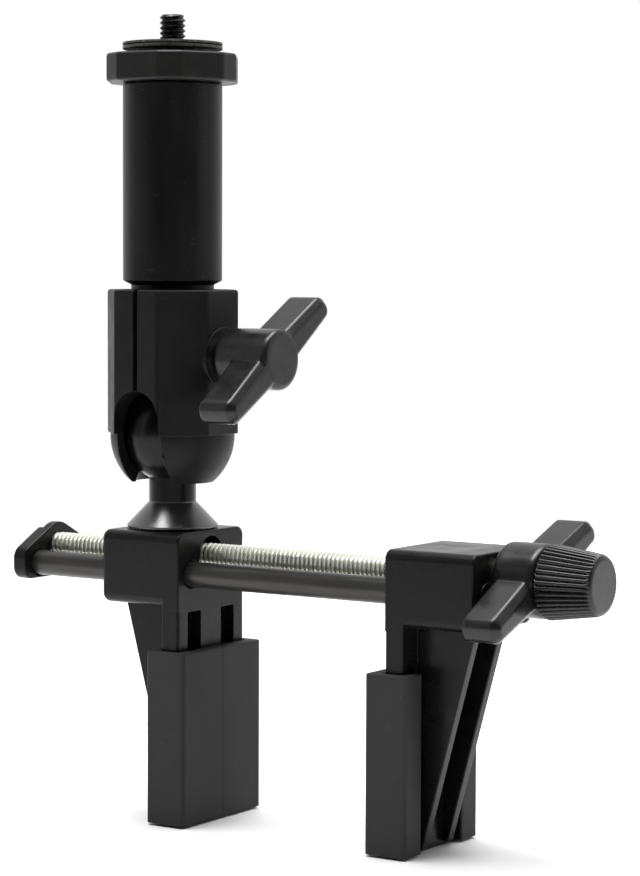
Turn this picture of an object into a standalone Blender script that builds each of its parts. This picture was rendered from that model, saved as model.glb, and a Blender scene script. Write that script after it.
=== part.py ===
"""Super clamp: a screw-driven bar clamp that carries a ball-jointed post with a camera stud.

The origin is on the floor, under the middle of the clamp.  +X runs along the guide rods towards
the spin knob, +Z is up.  All lengths are in metres.
"""
import math

import bmesh
import bpy
from mathutils import Matrix, Vector

MM = 0.001
GAP = 0.3 * MM                      # between surfaces that touch on the real object

# Driving dimensions -------------------------------------------------------------------------
BLOCK_TOP = 71.8 * MM               # height of the jaw blocks' top faces
BLOCK_HEIGHT = 18.1 * MM
BLOCK_LENGTH = 23.7 * MM            # along the rods
BLOCK_HALF = 13.85 * MM             # half width across the rods
BLOCK_ROUND = 2.4 * MM              # of the long edges
CLAMPING_RIM = 0.5 * MM
SLIDING_OUTER_RIM = 1.3 * MM
FIXED_OUTER_RIM = 0.5 * MM
SLIDING_FACE = -28.5 * MM           # clamping side of the sliding jaw
FIXED_FACE = 30.8 * MM              # clamping side of the fixed jaw

PLATE_THICK = 5.0 * MM
SLOT_INNER = 4.3 * MM               # slots in the plate, measured from its middle
SLOT_WIDTH = 5.4 * MM
SLOT_DEPTH = 3.0 * MM
RIB_OFFSET = 5.9 * MM
RIB_THICK = 2.7 * MM
RIB_REACH = 20.6 * MM
RIB_FOOT = 1.6 * MM                 # how far a rib stands out at the plate's lower end
OVER = 1.0 * MM                     # how far cutters and joined parts overshoot

PAD_PROUD = 3.6 * MM
PAD_DEPTH = 11.3 * MM
PAD_HALF = 16.6 * MM
PAD_LOW = 0.5 * MM
PAD_HIGH = 43.0 * MM

ROD_RADIUS = 3.175 * MM
ROD_OFFSET = 8.0 * MM
ROD_HEIGHT = 61.5 * MM
SCREW_RADIUS = 3.175 * MM
SCREW_HEIGHT = 65.4 * MM
SMALL_SCREW_RADIUS = 1.6 * MM
NUT_ACROSS = 10.0 * MM
NUT_THICK = 5.0 * MM
INSERT_ACROSS = 8.0 * MM            # also the bolt's head
INSERT_THICK = 4.0 * MM
WASHER_RADIUS = 4.8 * MM

CAP_OUTER = -80.7 * MM
CAP_THICK = 4.2 * MM
CAP_APEX = 72.0 * MM                # heights of the cap's corners
CAP_SHOULDER = 64.8 * MM
CAP_FOOT = 57.5 * MM
CLIP_RECESS = 1.9 * MM
CLIP_RECESS_RADIUS = 6.0 * MM
CLIP_RADIUS = 5.2 * MM
ROD_LOW = CAP_OUTER + 3.0 * MM      # the rods end in shallow sockets in the cap
ROD_HIGH = FIXED_FACE + BLOCK_LENGTH - 4.3 * MM
ROD_TAP = 8.0 * MM                  # depth of the screw holes in the rods' ends

POST_X = -40.35 * MM
BALL_HEIGHT = 95.75 * MM
BALL_RADIUS = 12.7 * MM
NECK_RADIUS = 5.85 * MM
CONE_RADIUS = 11.3 * MM
CONE_TOP = 78.4 * MM
STUD_BOSS_RADIUS = 5.0 * MM

SOCKET_ACROSS = 31.0 * MM           # across the octagon's flats
SOCKET_TOP = 131.2 * MM
SOCKET_LOW = 83.4 * MM
BOWL_RADIUS = 15.45 * MM
BOWL_HEIGHT = 95.0 * MM             # centre of the bowl's curve
SPLIT = 1.2 * MM                    # between the socket halves
SLOT_HALF = 6.5 * MM
SLOT_CENTRE = 99.9 * MM
MOUTH_LOW_RADIUS = 9.3 * MM
MOUTH_HIGH_RADIUS = 8.4 * MM
BOLT_HEIGHT = 114.4 * MM
BOLT_RADIUS = 2.5 * MM
BOLT_HEAD_LOW = 0.4 * MM            # the head's faces, from the left half's flat
BOLT_HEAD_HIGH = 3.8 * MM
BOSS_RADIUS = 7.5 * MM
BOSS_PROUD = 0.2 * MM
SPRING_POCKET = 3.9 * MM            # radius
SPRING_END = 3.7 * MM

SPIGOT_RADIUS = 10.3 * MM
SPIGOT_LOW = 118.1 * MM
GROOVE_RADIUS = 9.0 * MM
GROOVE_LOW = 123.4 * MM
GROOVE_HIGH = 126.6 * MM
TUBE_RADIUS = 12.3 * MM
TUBE_LOW = 133.4 * MM
TUBE_HIGH = 181.8 * MM
TUBE_BORE = 9.6 * MM
RING_LOW = 182.1 * MM
RING_HIGH = 189.1 * MM
RING_ACROSS = 31.9 * MM
RING_BLUNT = 5.75 * MM              # width of the ring's cut corners
RING_PHASE = math.radians(3.4)
DISC_LOW = 190.3 * MM
DISC_HIGH = 191.1 * MM
DISC_RADIUS = 12.35 * MM
DISC_PAD_HIGH = 192.0 * MM
STUD_TOP = 198.8 * MM
PLUG_DEPTH = 10.0 * MM              # of the head's plug in the tube
STUD_HEAD_RADIUS = 5.0 * MM
STUD_HEAD_POCKET = 5.3 * MM

WING_ROOT = 7.0 * MM                # where the wings leave the hubs
WING_ROOT_HALF = 4.1 * MM
WING_TIP_HALF = 2.7 * MM
CLAMP_HUB_RADIUS = 7.5 * MM
CLAMP_HUB_LOW = -23.0 * MM
CLAMP_HUB_HIGH = -7.1 * MM
CLAMP_WING_LOW = -17.1 * MM
CLAMP_BORE_END = -10.4 * MM
CLAMP_WING_REACH = 24.6 * MM
CLAMP_WING_ANGLE = math.radians(33)
BAR_HUB_RADIUS = 8.7 * MM
BAR_HUB_LOW = 55.9 * MM
BAR_HUB_HIGH = 67.0 * MM
BAR_WING_LOW = 57.2 * MM
BAR_WING_HIGH = 66.6 * MM
BAR_WING_REACH = 25.6 * MM
BAR_WING_ANGLE = math.radians(23.4)
KNOB_LOW = 67.3 * MM
KNOB_HIGH = 80.7 * MM
KNOB_BASE_RADIUS = 8.9 * MM
KNOB_END_RADIUS = 7.0 * MM
KNOB_FLUTES = 40
KNOB_FLUTE_DEPTH = 0.5 * MM
KNOB_BORE = 8.3 * MM

# name: colour, roughness, metallic
FINISHES = {
    "black_plastic": ((0.028, 0.028, 0.030), 0.45, 0.0),
    "socket_plastic": ((0.018, 0.018, 0.019), 0.50, 0.0),
    "handle_plastic": ((0.042, 0.041, 0.043), 0.38, 0.0),
    "rubber": ((0.040, 0.040, 0.042), 0.75, 0.0),
    "zinc_steel": ((0.78, 0.79, 0.74), 0.25, 1.0),
    "black_steel": ((0.045, 0.044, 0.044), 0.35, 0.8),
    "dark_metal": ((0.10, 0.10, 0.105), 0.28, 1.0),
    "post_aluminium": ((0.016, 0.016, 0.017), 0.40, 0.3),
    "brass": ((0.62, 0.48, 0.22), 0.35, 1.0),
}


# Shape helpers ------------------------------------------------------------------------------
def material(name):
    found = bpy.data.materials.get(name)
    if found:
        return found
    colour, roughness, metallic = FINISHES[name]
    made = bpy.data.materials.new(name)
    made.use_nodes = True
    shader = made.node_tree.nodes["Principled BSDF"]
    shader.inputs["Base Color"].default_value = (*colour, 1.0)
    shader.inputs["Roughness"].default_value = roughness
    shader.inputs["Metallic"].default_value = metallic
    return made


def to_object(name, bm, finish, origin=(0, 0, 0)):
    """Make an object from a bmesh in world coordinates, with its origin at the given point."""
    bmesh.ops.recalc_face_normals(bm, faces=bm.faces)
    bm.transform(Matrix.Translation(-Vector(origin)))
    mesh = bpy.data.meshes.new(name)
    bm.to_mesh(mesh)
    bm.free()
    mesh.shade_smooth()
    mesh.set_sharp_from_angle(angle=math.radians(35))
    obj = bpy.data.objects.new(name, mesh)
    obj.location = origin
    bpy.context.scene.collection.objects.link(obj)
    obj.data.materials.append(material(finish))
    return obj


def box(low, high, bevel=0.0, segments=2):
    bm = bmesh.new()
    bmesh.ops.create_cube(bm, size=1.0)
    size = [b - a for a, b in zip(low, high)]
    middle = [(a + b) / 2 for a, b in zip(low, high)]
    bm.transform(Matrix.Translation(middle) @ Matrix.Diagonal((*size, 1.0)))
    if bevel:
        bmesh.ops.bevel(bm, geom=bm.edges[:], offset=bevel, segments=segments,
                        profile=0.5, affect="EDGES")
    return bm


def cyclic(axis):
    """Matrix that turns local X, Y, Z so that local Z lies along the named axis."""
    if axis == "Z":
        return Matrix.Identity(4)
    if axis == "X":                 # local X, Y, Z become world Y, Z, X
        return Matrix(((0, 0, 1, 0), (1, 0, 0, 0), (0, 1, 0, 0), (0, 0, 0, 1)))
    return Matrix(((0, 1, 0, 0), (0, 0, 1, 0), (1, 0, 0, 0), (0, 0, 0, 1)))


def prism(outline, low, high, axis="Z"):
    """Extrude a closed outline of (first, second) points along an axis, from low to high."""
    bm = bmesh.new()
    bottom = [bm.verts.new((a, b, low)) for a, b in outline]
    top = [bm.verts.new((a, b, high)) for a, b in outline]
    bm.faces.new(reversed(bottom))
    bm.faces.new(top)
    count = len(outline)
    for i in range(count):
        j = (i + 1) % count
        bm.faces.new((bottom[i], bottom[j], top[j], top[i]))
    bm.transform(cyclic(axis))
    return bm


def rounded(corners, radii, steps=3):
    """Round a polygon's corners; each corner has its own radius, and 0 keeps it sharp."""
    points = []
    count = len(corners)
    for i, (corner, radius) in enumerate(zip(corners, radii)):
        here = Vector(corner)
        if radius == 0:
            points.append(tuple(here))
            continue
        back = (Vector(corners[i - 1]) - here).normalized()
        ahead = (Vector(corners[(i + 1) % count]) - here).normalized()
        half = back.angle(ahead) / 2
        centre = here + (back + ahead).normalized() * radius / math.sin(half)
        start = here + back * radius / math.tan(half) - centre
        end = here + ahead * radius / math.tan(half) - centre
        sweep = start.angle_signed(end)
        for step in range(steps + 1):
            turn = Matrix.Rotation(-sweep * step / steps, 2)
            points.append(tuple(centre + turn @ start))
    return points


def polygon(sides, across, phase=0.0):
    """Regular polygon with the given size across flats; phase 0 puts a flat on +X."""
    radius = across / 2 / math.cos(math.pi / sides)
    turn = 2 * math.pi / sides
    return [(radius * math.cos(phase + turn * (i + 0.5)),
             radius * math.sin(phase + turn * (i + 0.5))) for i in range(sides)]


def turned(profile, centre, axis="Z", segments=32):
    """Solid of revolution.  The profile is (radius, distance along the axis) from end to end,
    with radius 0 where it meets the axis; a profile that never does is closed into a ring."""
    bm = bmesh.new()
    rings = []
    for radius, along in profile:
        if radius == 0:
            rings.append([bm.verts.new((0, 0, along))])
            continue
        ring = []
        for i in range(segments):
            angle = 2 * math.pi * i / segments
            ring.append(bm.verts.new((radius * math.cos(angle), radius * math.sin(angle), along)))
        rings.append(ring)
    pairs = list(zip(rings, rings[1:]))
    if profile[0][0] and profile[-1][0]:
        pairs.append((rings[-1], rings[0]))
    for first, second in pairs:
        for i in range(segments):
            j = (i + 1) % segments
            corners = [first[i % len(first)], first[j % len(first)],
                       second[j % len(second)], second[i % len(second)]]
            bm.faces.new(list(dict.fromkeys(corners)))
    bm.transform(Matrix.Translation(centre) @ cyclic(axis))
    return bm


def rod(radius, low, high, centre, axis="X", segments=24, chamfer=0.0):
    """Plain cylinder along an axis; centre holds the two coordinates across it."""
    if chamfer:
        profile = [(0, low), (radius - chamfer, low), (radius, low + chamfer),
                   (radius, high - chamfer), (radius - chamfer, high), (0, high)]
    else:
        profile = [(0, low), (radius, low), (radius, high), (0, high)]
    return turned(profile, centre, axis, segments)


def combine(target, other_bm, operation="DIFFERENCE"):
    """Cut the target with a shape, or join the shape to it, with a Boolean modifier."""
    number = len(target.modifiers)
    tool = to_object(f"{target.name}_tool_{number}", other_bm, "black_plastic")
    tool.hide_render = True
    tool.display_type = "WIRE"
    step = target.modifiers.new(f"{operation.lower()}_{number}", "BOOLEAN")
    step.operation = operation
    step.object = tool
    step.solver = "EXACT"


def cut(target, *shapes):
    for shape in shapes:
        combine(target, shape)


def join(target, *shapes):
    for shape in shapes:
        combine(target, shape, "UNION")


def on_rods(x=0.0):
    """Centres of the two guide rods' axes."""
    return [(x, side * ROD_OFFSET, ROD_HEIGHT) for side in (-1, 1)]


def on_screw(x=0.0):
    return (x, 0, SCREW_HEIGHT)


def on_bolt(x=0.0):
    return (x, 0, BOLT_HEIGHT)


# Jaws ---------------------------------------------------------------------------------------
def rims(shape, axis):
    """Edges round the two end faces of a prism, as (low, high) lists."""
    shape.normal_update()
    ends = [face for face in shape.faces if abs(face.normal[axis]) > 0.9]
    ends.sort(key=lambda face: face.calc_center_median()[axis])
    return [list(face.edges) for face in ends]


def jaw_block(face, outer, outer_rim):
    """Block with rounded long edges, and its own rounding at each end."""
    corners = [(-BLOCK_HALF, BLOCK_TOP - BLOCK_HEIGHT), (BLOCK_HALF, BLOCK_TOP - BLOCK_HEIGHT),
               (BLOCK_HALF, BLOCK_TOP), (-BLOCK_HALF, BLOCK_TOP)]
    shape = prism(rounded(corners, [BLOCK_ROUND] * 4), min(face, outer), max(face, outer), "X")
    edges = rims(shape, 0)
    if face > outer:
        edges.reverse()
    for rim, radius in zip(edges, (CLAMPING_RIM, outer_rim)):
        bmesh.ops.bevel(shape, geom=rim, offset=radius, segments=2, profile=0.5, affect="EDGES")
    return shape


def jaw_shape(name, face, away, outer_rim):
    """Block, slotted plate and gusset ribs.  away is the direction from the clamping side."""
    def span(near, far):
        ends = sorted((face + away * near, face + away * far))
        return ends[0], ends[1]

    block_low = BLOCK_TOP - BLOCK_HEIGHT
    jaw = to_object(name, jaw_block(face, face + away * BLOCK_LENGTH, outer_rim), "black_plastic")
    low, high = span(0, PLATE_THICK)
    overlap = BLOCK_ROUND + OVER
    join(jaw, box((low, -BLOCK_HALF, 0), (high, BLOCK_HALF, block_low + overlap), CLAMPING_RIM, 2))
    rib_back = PLATE_THICK - OVER / 2
    for side in (-1, 1):
        outline = [(face + away * rib_back, block_low + overlap),
                   (face + away * RIB_REACH, block_low + overlap),
                   (face + away * RIB_REACH, block_low - 1.0 * MM),
                   (face + away * (PLATE_THICK + RIB_FOOT), 1.0 * MM),
                   (face + away * rib_back, 1.0 * MM)]
        middle = side * RIB_OFFSET
        # prism along Y takes its outline as (Z, X)
        rib = prism([(z, x) for x, z in outline], middle - RIB_THICK / 2,
                    middle + RIB_THICK / 2, "Y")
        join(jaw, rib)
    low, high = span(-1.0 * MM, SLOT_DEPTH)
    for side in (-1, 1):
        ends = sorted((side * SLOT_INNER, side * (SLOT_INNER + SLOT_WIDTH)))
        cut(jaw, box((low, ends[0], 6.0 * MM), (high, ends[1], block_low - 1.4 * MM)))
    return jaw


def fixed_jaw():
    jaw = jaw_shape("fixed_jaw", FIXED_FACE, 1, FIXED_OUTER_RIM)
    outer = FIXED_FACE + BLOCK_LENGTH
    shoulder = outer - 4.0 * MM
    cut(jaw, rod(SCREW_RADIUS + GAP, FIXED_FACE - OVER, outer + OVER, on_screw()))
    for centre in on_rods():
        cut(jaw, turned([(0, FIXED_FACE - OVER), (ROD_RADIUS + GAP, FIXED_FACE - OVER),
                         (ROD_RADIUS + GAP, shoulder), (SMALL_SCREW_RADIUS + GAP, shoulder),
                         (SMALL_SCREW_RADIUS + GAP, outer + OVER), (0, outer + OVER)],
                        centre, "X", 24))


def sliding_jaw():
    jaw = jaw_shape("sliding_jaw", SLIDING_FACE, -1, SLIDING_OUTER_RIM)
    outer = SLIDING_FACE - BLOCK_LENGTH
    pocket = outer + NUT_THICK + 2 * GAP
    lead_in = SLIDING_FACE - 3.0 * MM
    cut(jaw, turned([(0, pocket - OVER), (SCREW_RADIUS + GAP, pocket - OVER),
                     (SCREW_RADIUS + GAP, lead_in), (5.0 * MM, lead_in),
                     (5.0 * MM, SLIDING_FACE + OVER), (0, SLIDING_FACE + OVER)],
                    on_screw(), "X", 32))
    hexagon = [(y, z + SCREW_HEIGHT) for y, z in polygon(6, NUT_ACROSS + 2 * GAP, math.pi / 6)]
    cut(jaw, prism(hexagon, outer - OVER, pocket, "X"))
    for centre in on_rods():
        cut(jaw, rod(ROD_RADIUS + GAP, outer - OVER, SLIDING_FACE + OVER, centre))
    cut(jaw, rod(STUD_BOSS_RADIUS + GAP, BLOCK_TOP - 1.5 * MM, BLOCK_TOP + OVER,
                 (POST_X, 0, 0), "Z"))


def pad(name, face, away):
    """Rubber boot: a front wall, two sides and two lips behind the plate, open at the top."""
    wall = PAD_HALF - BLOCK_HALF - GAP
    back = PAD_DEPTH - PAD_PROUD
    lip_front = PLATE_THICK + GAP
    half = [(PAD_PROUD, PAD_HALF), (-back, PAD_HALF), (-back, 9.0 * MM),
            (-lip_front, 10.2 * MM), (-lip_front, PAD_HALF - wall), (GAP, PAD_HALF - wall)]
    radii = [1.0 * MM, 1.0 * MM, 0.5 * MM, 0, 0, 0]
    corners = half + [(x, -y) for x, y in reversed(half)]
    outline = rounded(corners, radii + radii[::-1])
    to_object(name, prism([(face - away * x, y) for x, y in outline], PAD_LOW, PAD_HIGH), "rubber")


# Bar ----------------------------------------------------------------------------------------
def guide_rods():
    hole = SMALL_SCREW_RADIUS + GAP
    edge = 0.4 * MM
    profile = [(0, ROD_LOW + ROD_TAP), (hole, ROD_LOW + ROD_TAP), (hole, ROD_LOW),
               (ROD_RADIUS - edge, ROD_LOW), (ROD_RADIUS, ROD_LOW + edge),
               (ROD_RADIUS, ROD_HIGH - edge), (ROD_RADIUS - edge, ROD_HIGH),
               (hole, ROD_HIGH), (hole, ROD_HIGH - ROD_TAP), (0, ROD_HIGH - ROD_TAP)]
    for name, centre in zip(("guide_rod_front", "guide_rod_rear"), on_rods()):
        to_object(name, turned(profile, centre, "X", 28), "black_steel")


def end_cap():
    corners = [(0, CAP_APEX), (-BLOCK_HALF, CAP_SHOULDER), (-BLOCK_HALF, CAP_FOOT),
               (BLOCK_HALF, CAP_FOOT), (BLOCK_HALF, CAP_SHOULDER)]
    outline = rounded(corners, [6.0 * MM, 3.5 * MM, 3.0 * MM, 3.0 * MM, 3.5 * MM], 5)
    inner = CAP_OUTER + CAP_THICK
    cap = to_object("end_cap", prism(outline, CAP_OUTER, inner, "X"), "black_plastic")
    recess = CAP_OUTER + CLIP_RECESS
    cut(cap, turned([(0, CAP_OUTER - OVER), (CLIP_RECESS_RADIUS, CAP_OUTER - OVER),
                     (CLIP_RECESS_RADIUS, recess), (SCREW_RADIUS + GAP, recess),
                     (SCREW_RADIUS + GAP, inner + OVER), (0, inner + OVER)],
                    on_screw(), "X", 32))
    hole = SMALL_SCREW_RADIUS + GAP
    sink = 1.2 * MM                 # depth of the countersinks
    for centre in on_rods():
        cut(cap, turned([(0, CAP_OUTER - OVER), (hole + sink + OVER, CAP_OUTER - OVER),
                         (hole + sink, CAP_OUTER), (hole, CAP_OUTER + sink),
                         (hole, ROD_LOW - GAP), (ROD_RADIUS + GAP, ROD_LOW - GAP),
                         (ROD_RADIUS + GAP, inner + OVER), (0, inner + OVER)],
                        centre, "X", 24))


def small_screws(name, profile):
    """One screw on each guide rod's axis."""
    for place, centre in zip(("front", "rear"), on_rods()):
        to_object(f"{name}_{place}", turned(profile, centre, "X", 20), "black_steel")


def end_cap_screws():
    radius = SMALL_SCREW_RADIUS
    head = radius + 0.9 * MM
    face = CAP_OUTER + 0.2 * MM
    profile = [(0, face), (head, face), (head, face + 0.1 * MM), (radius, face + 1.0 * MM),
               (radius, ROD_LOW + ROD_TAP - OVER), (0, ROD_LOW + ROD_TAP - OVER)]
    small_screws("end_cap_screw", profile)


def rod_end_screws():
    face = FIXED_FACE + BLOCK_LENGTH + GAP
    head = 3.6 * MM
    thick = 0.7 * MM
    profile = [(0, face + thick), (head - 0.3 * MM, face + thick), (head, face + 0.4 * MM),
               (head, face), (SMALL_SCREW_RADIUS, face),
               (SMALL_SCREW_RADIUS, ROD_HIGH - ROD_TAP + OVER), (0, ROD_HIGH - ROD_TAP + OVER)]
    small_screws("rod_end_screw", profile)


def lead_screw():
    low = CAP_OUTER + 0.2 * MM
    groove_low = low + 0.4 * MM
    groove_high = groove_low + 1.0 * MM
    groove = 2.4 * MM
    high = KNOB_LOW + 8.0 * MM
    profile = [(0, low), (SCREW_RADIUS, low), (SCREW_RADIUS, groove_low), (groove, groove_low),
               (groove, groove_high), (SCREW_RADIUS, groove_high), (SCREW_RADIUS, high), (0, high)]
    to_object("lead_screw", turned(profile, on_screw(), "X", 28), "zinc_steel", on_screw())
    clip_low = groove_low + 0.1 * MM
    clip_high = groove_high - 0.1 * MM
    ring = [(groove + GAP, clip_low), (CLIP_RADIUS, clip_low), (CLIP_RADIUS, clip_high),
            (groove + GAP, clip_high)]
    to_object("screw_clip", turned(ring, on_screw(), "X", 28), "black_steel", on_screw())


def thrust_washer():
    low = FIXED_FACE + BLOCK_LENGTH + GAP
    high = BAR_HUB_LOW - GAP
    ring = [(SCREW_RADIUS + GAP, low), (WASHER_RADIUS, low), (WASHER_RADIUS, high),
            (SCREW_RADIUS + GAP, high)]
    to_object("thrust_washer", turned(ring, on_screw(), "X", 28), "zinc_steel", on_screw())


def drive_nut():
    low = SLIDING_FACE - BLOCK_LENGTH + GAP
    high = low + NUT_THICK
    hexagon = [(y, z + SCREW_HEIGHT) for y, z in polygon(6, NUT_ACROSS, math.pi / 6)]
    nut = to_object("drive_nut", prism(hexagon, low, high, "X"), "brass")
    cut(nut, rod(SCREW_RADIUS + GAP, low - OVER, high + OVER, on_screw()))


# Handles ------------------------------------------------------------------------------------
def wing_outline(reach, angle, centre_z):
    """Two opposite wings as one long outline across the handle's axis, with round tips."""
    tip = reach - WING_TIP_HALF
    steps = 8
    side = [(WING_ROOT, -WING_ROOT_HALF)]
    for step in range(steps + 1):
        turn = -math.pi / 2 + math.pi * step / steps
        side.append((tip + WING_TIP_HALF * math.cos(turn), WING_TIP_HALF * math.sin(turn)))
    side.append((WING_ROOT, WING_ROOT_HALF))
    whole = side + [(-a, -b) for a, b in side]
    cos, sin = math.cos(angle), math.sin(angle)
    return [(a * cos - b * sin, a * sin + b * cos + centre_z) for a, b in whole]


def tee_handle(name, centre, radius, hub, wings, reach, angle):
    """Round hub with two wings.  hub and wings are (low, high) along X."""
    edge = 0.8 * MM
    wing_rim = 0.7 * MM
    low, high = hub
    profile = [(0, low), (radius - edge, low), (radius, low + edge), (radius, high - edge),
               (radius - edge, high), (0, high)]
    handle = to_object(name, turned(profile, centre, "X", 40), "handle_plastic", centre)
    blade = prism(wing_outline(reach, angle, centre[2]), wings[0], wings[1], "X")
    low_rim, high_rim = rims(blade, 0)
    bmesh.ops.bevel(blade, geom=low_rim + high_rim, offset=wing_rim, segments=2, profile=0.5,
                    affect="EDGES")
    join(handle, blade)
    return handle


def clamp_tee_handle():
    handle = tee_handle("clamp_tee_handle", on_bolt(), CLAMP_HUB_RADIUS,
                        (CLAMP_HUB_LOW, CLAMP_HUB_HIGH),
                        (CLAMP_WING_LOW, CLAMP_HUB_HIGH - 0.1 * MM), CLAMP_WING_REACH,
                        CLAMP_WING_ANGLE)
    cut(handle, rod(BOLT_RADIUS + GAP, CLAMP_HUB_LOW - OVER, CLAMP_BORE_END, on_bolt()))
    pocket = [(y, z + BOLT_HEIGHT) for y, z in polygon(6, INSERT_ACROSS + 2 * GAP)]
    low = CLAMP_HUB_LOW + GAP
    high = low + INSERT_THICK
    cut(handle, prism(pocket, CLAMP_HUB_LOW - OVER, high + GAP, "X"))
    hexagon = [(y, z + BOLT_HEIGHT) for y, z in polygon(6, INSERT_ACROSS)]
    insert = to_object("handle_insert", prism(hexagon, low, high, "X"), "brass")
    cut(insert, rod(BOLT_RADIUS + GAP, low - OVER, high + OVER, on_bolt()))


def bar_tee_handle():
    handle = tee_handle("bar_tee_handle", on_screw(), BAR_HUB_RADIUS, (BAR_HUB_LOW, BAR_HUB_HIGH),
                        (BAR_WING_LOW, BAR_WING_HIGH), BAR_WING_REACH,
                        BAR_WING_ANGLE)
    cut(handle, rod(SCREW_RADIUS + GAP, BAR_HUB_LOW - OVER, BAR_HUB_HIGH + OVER, on_screw()))


def spin_knob():
    """Tapered finger knob with straight flutes."""
    rings = [(KNOB_LOW, KNOB_BASE_RADIUS - 0.3 * MM), (KNOB_LOW + 0.3 * MM, KNOB_BASE_RADIUS),
             (KNOB_HIGH - 0.7 * MM, KNOB_END_RADIUS), (KNOB_HIGH, KNOB_END_RADIUS - 0.6 * MM)]
    bm = bmesh.new()
    loops = []
    for x, radius in rings:
        loop = []
        for i in range(KNOB_FLUTES * 2):
            angle = math.pi * i / KNOB_FLUTES
            r = radius - KNOB_FLUTE_DEPTH * (i % 2)
            loop.append(bm.verts.new((x, r * math.cos(angle), r * math.sin(angle) + SCREW_HEIGHT)))
        loops.append(loop)
    for first, second in zip(loops, loops[1:]):
        for i in range(len(first)):
            j = (i + 1) % len(first)
            bm.faces.new((first[i], first[j], second[j], second[i]))
    bm.faces.new(loops[0])
    bm.faces.new(loops[-1])
    knob = to_object("spin_knob", bm, "handle_plastic", on_screw())
    cut(knob, rod(SCREW_RADIUS + GAP, KNOB_LOW - OVER, KNOB_LOW + KNOB_BORE, on_screw()))


# Ball joint ---------------------------------------------------------------------------------
def arc(radius, centre, start, end, steps):
    """(radius, height) points of an arc about a centre's height; angles from straight down."""
    points = []
    for step in range(steps + 1):
        angle = start + (end - start) * step / steps
        points.append((radius * math.sin(angle), centre - radius * math.cos(angle)))
    return points


def ball_stud():
    base = BLOCK_TOP + GAP
    profile = [(0, BLOCK_TOP - 1.2 * MM), (STUD_BOSS_RADIUS, BLOCK_TOP - 1.2 * MM),
               (STUD_BOSS_RADIUS, base), (CONE_RADIUS, base), (CONE_RADIUS, base + 0.6 * MM),
               (NECK_RADIUS, CONE_TOP)]
    start = math.asin(NECK_RADIUS / BALL_RADIUS)
    end = math.radians(155)
    profile += arc(BALL_RADIUS, BALL_HEIGHT, start, end, 11)
    profile.append((0, profile[-1][1]))
    to_object("ball_stud", turned(profile, (POST_X, 0, 0), "Z", 36), "dark_metal",
              (POST_X, 0, BALL_HEIGHT))


def socket_body(name):
    """Octagonal body that runs into a round bowl below the ball's centre."""
    octagon = [(x + POST_X, y) for x, y in polygon(8, SOCKET_ACROSS)]
    shape = prism(octagon, BALL_HEIGHT - 0.2 * MM, SOCKET_TOP)
    top_rim = [edge for edge in shape.edges
               if all(vert.co.z > SOCKET_TOP - MM / 10 for vert in edge.verts)]
    bmesh.ops.bevel(shape, geom=top_rim, offset=0.9 * MM, segments=2, profile=0.5,
                    affect="EDGES")
    body = to_object(name, shape, "socket_plastic", (POST_X, 0, BALL_HEIGHT))
    start = math.acos((BOWL_HEIGHT - SOCKET_LOW) / BOWL_RADIUS)
    bowl = [(0, SOCKET_LOW)] + arc(BOWL_RADIUS, BOWL_HEIGHT, start, math.pi / 2, 7)
    bowl += [(BOWL_RADIUS - GAP, BALL_HEIGHT + OVER), (0, BALL_HEIGHT + OVER)]
    join(body, turned(bowl, (POST_X, 0, 0), "Z", 48))
    return body


def socket_hollow():
    """The ball's seat and the flared mouth below it, as one turned cutter."""
    seat = BALL_RADIUS + GAP
    start = math.asin(MOUTH_HIGH_RADIUS / seat)
    lip = BALL_HEIGHT - seat * math.cos(start)
    flare = (MOUTH_LOW_RADIUS - MOUTH_HIGH_RADIUS) / (lip - SOCKET_LOW)
    low = SOCKET_LOW - OVER
    profile = [(0, low), (MOUTH_LOW_RADIUS + flare * MM, low)]
    profile += arc(seat, BALL_HEIGHT, start, math.radians(170), 12)
    profile.append((0, BALL_HEIGHT + seat))
    return turned(profile, (POST_X, 0, 0), "Z", 36)


def spigot_hole():
    wide = SPIGOT_RADIUS + GAP
    narrow = GROOVE_RADIUS + 0.4 * MM
    profile = [(0, SPIGOT_LOW - GAP), (wide, SPIGOT_LOW - GAP), (wide, GROOVE_LOW + GAP),
               (narrow, GROOVE_LOW + GAP), (narrow, GROOVE_HIGH - GAP), (wide, GROOVE_HIGH - GAP),
               (wide, SOCKET_TOP + OVER), (0, SOCKET_TOP + OVER)]
    return turned(profile, (POST_X, 0, 0), "Z", 40)


def tilt_slot():
    """Round-topped slot in the front face, open at the bottom."""
    outline = [(-SLOT_HALF, SOCKET_LOW - 2 * MM), (SLOT_HALF, SOCKET_LOW - 2 * MM)]
    steps = 12
    for step in range(steps + 1):
        turn = math.pi * step / steps
        outline.append((SLOT_HALF * math.cos(turn), SLOT_CENTRE + SLOT_HALF * math.sin(turn)))
    # prism along Y takes its outline as (Z, X)
    return prism([(z, x + POST_X) for x, z in outline], -SOCKET_ACROSS, 0, "Y")


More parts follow.
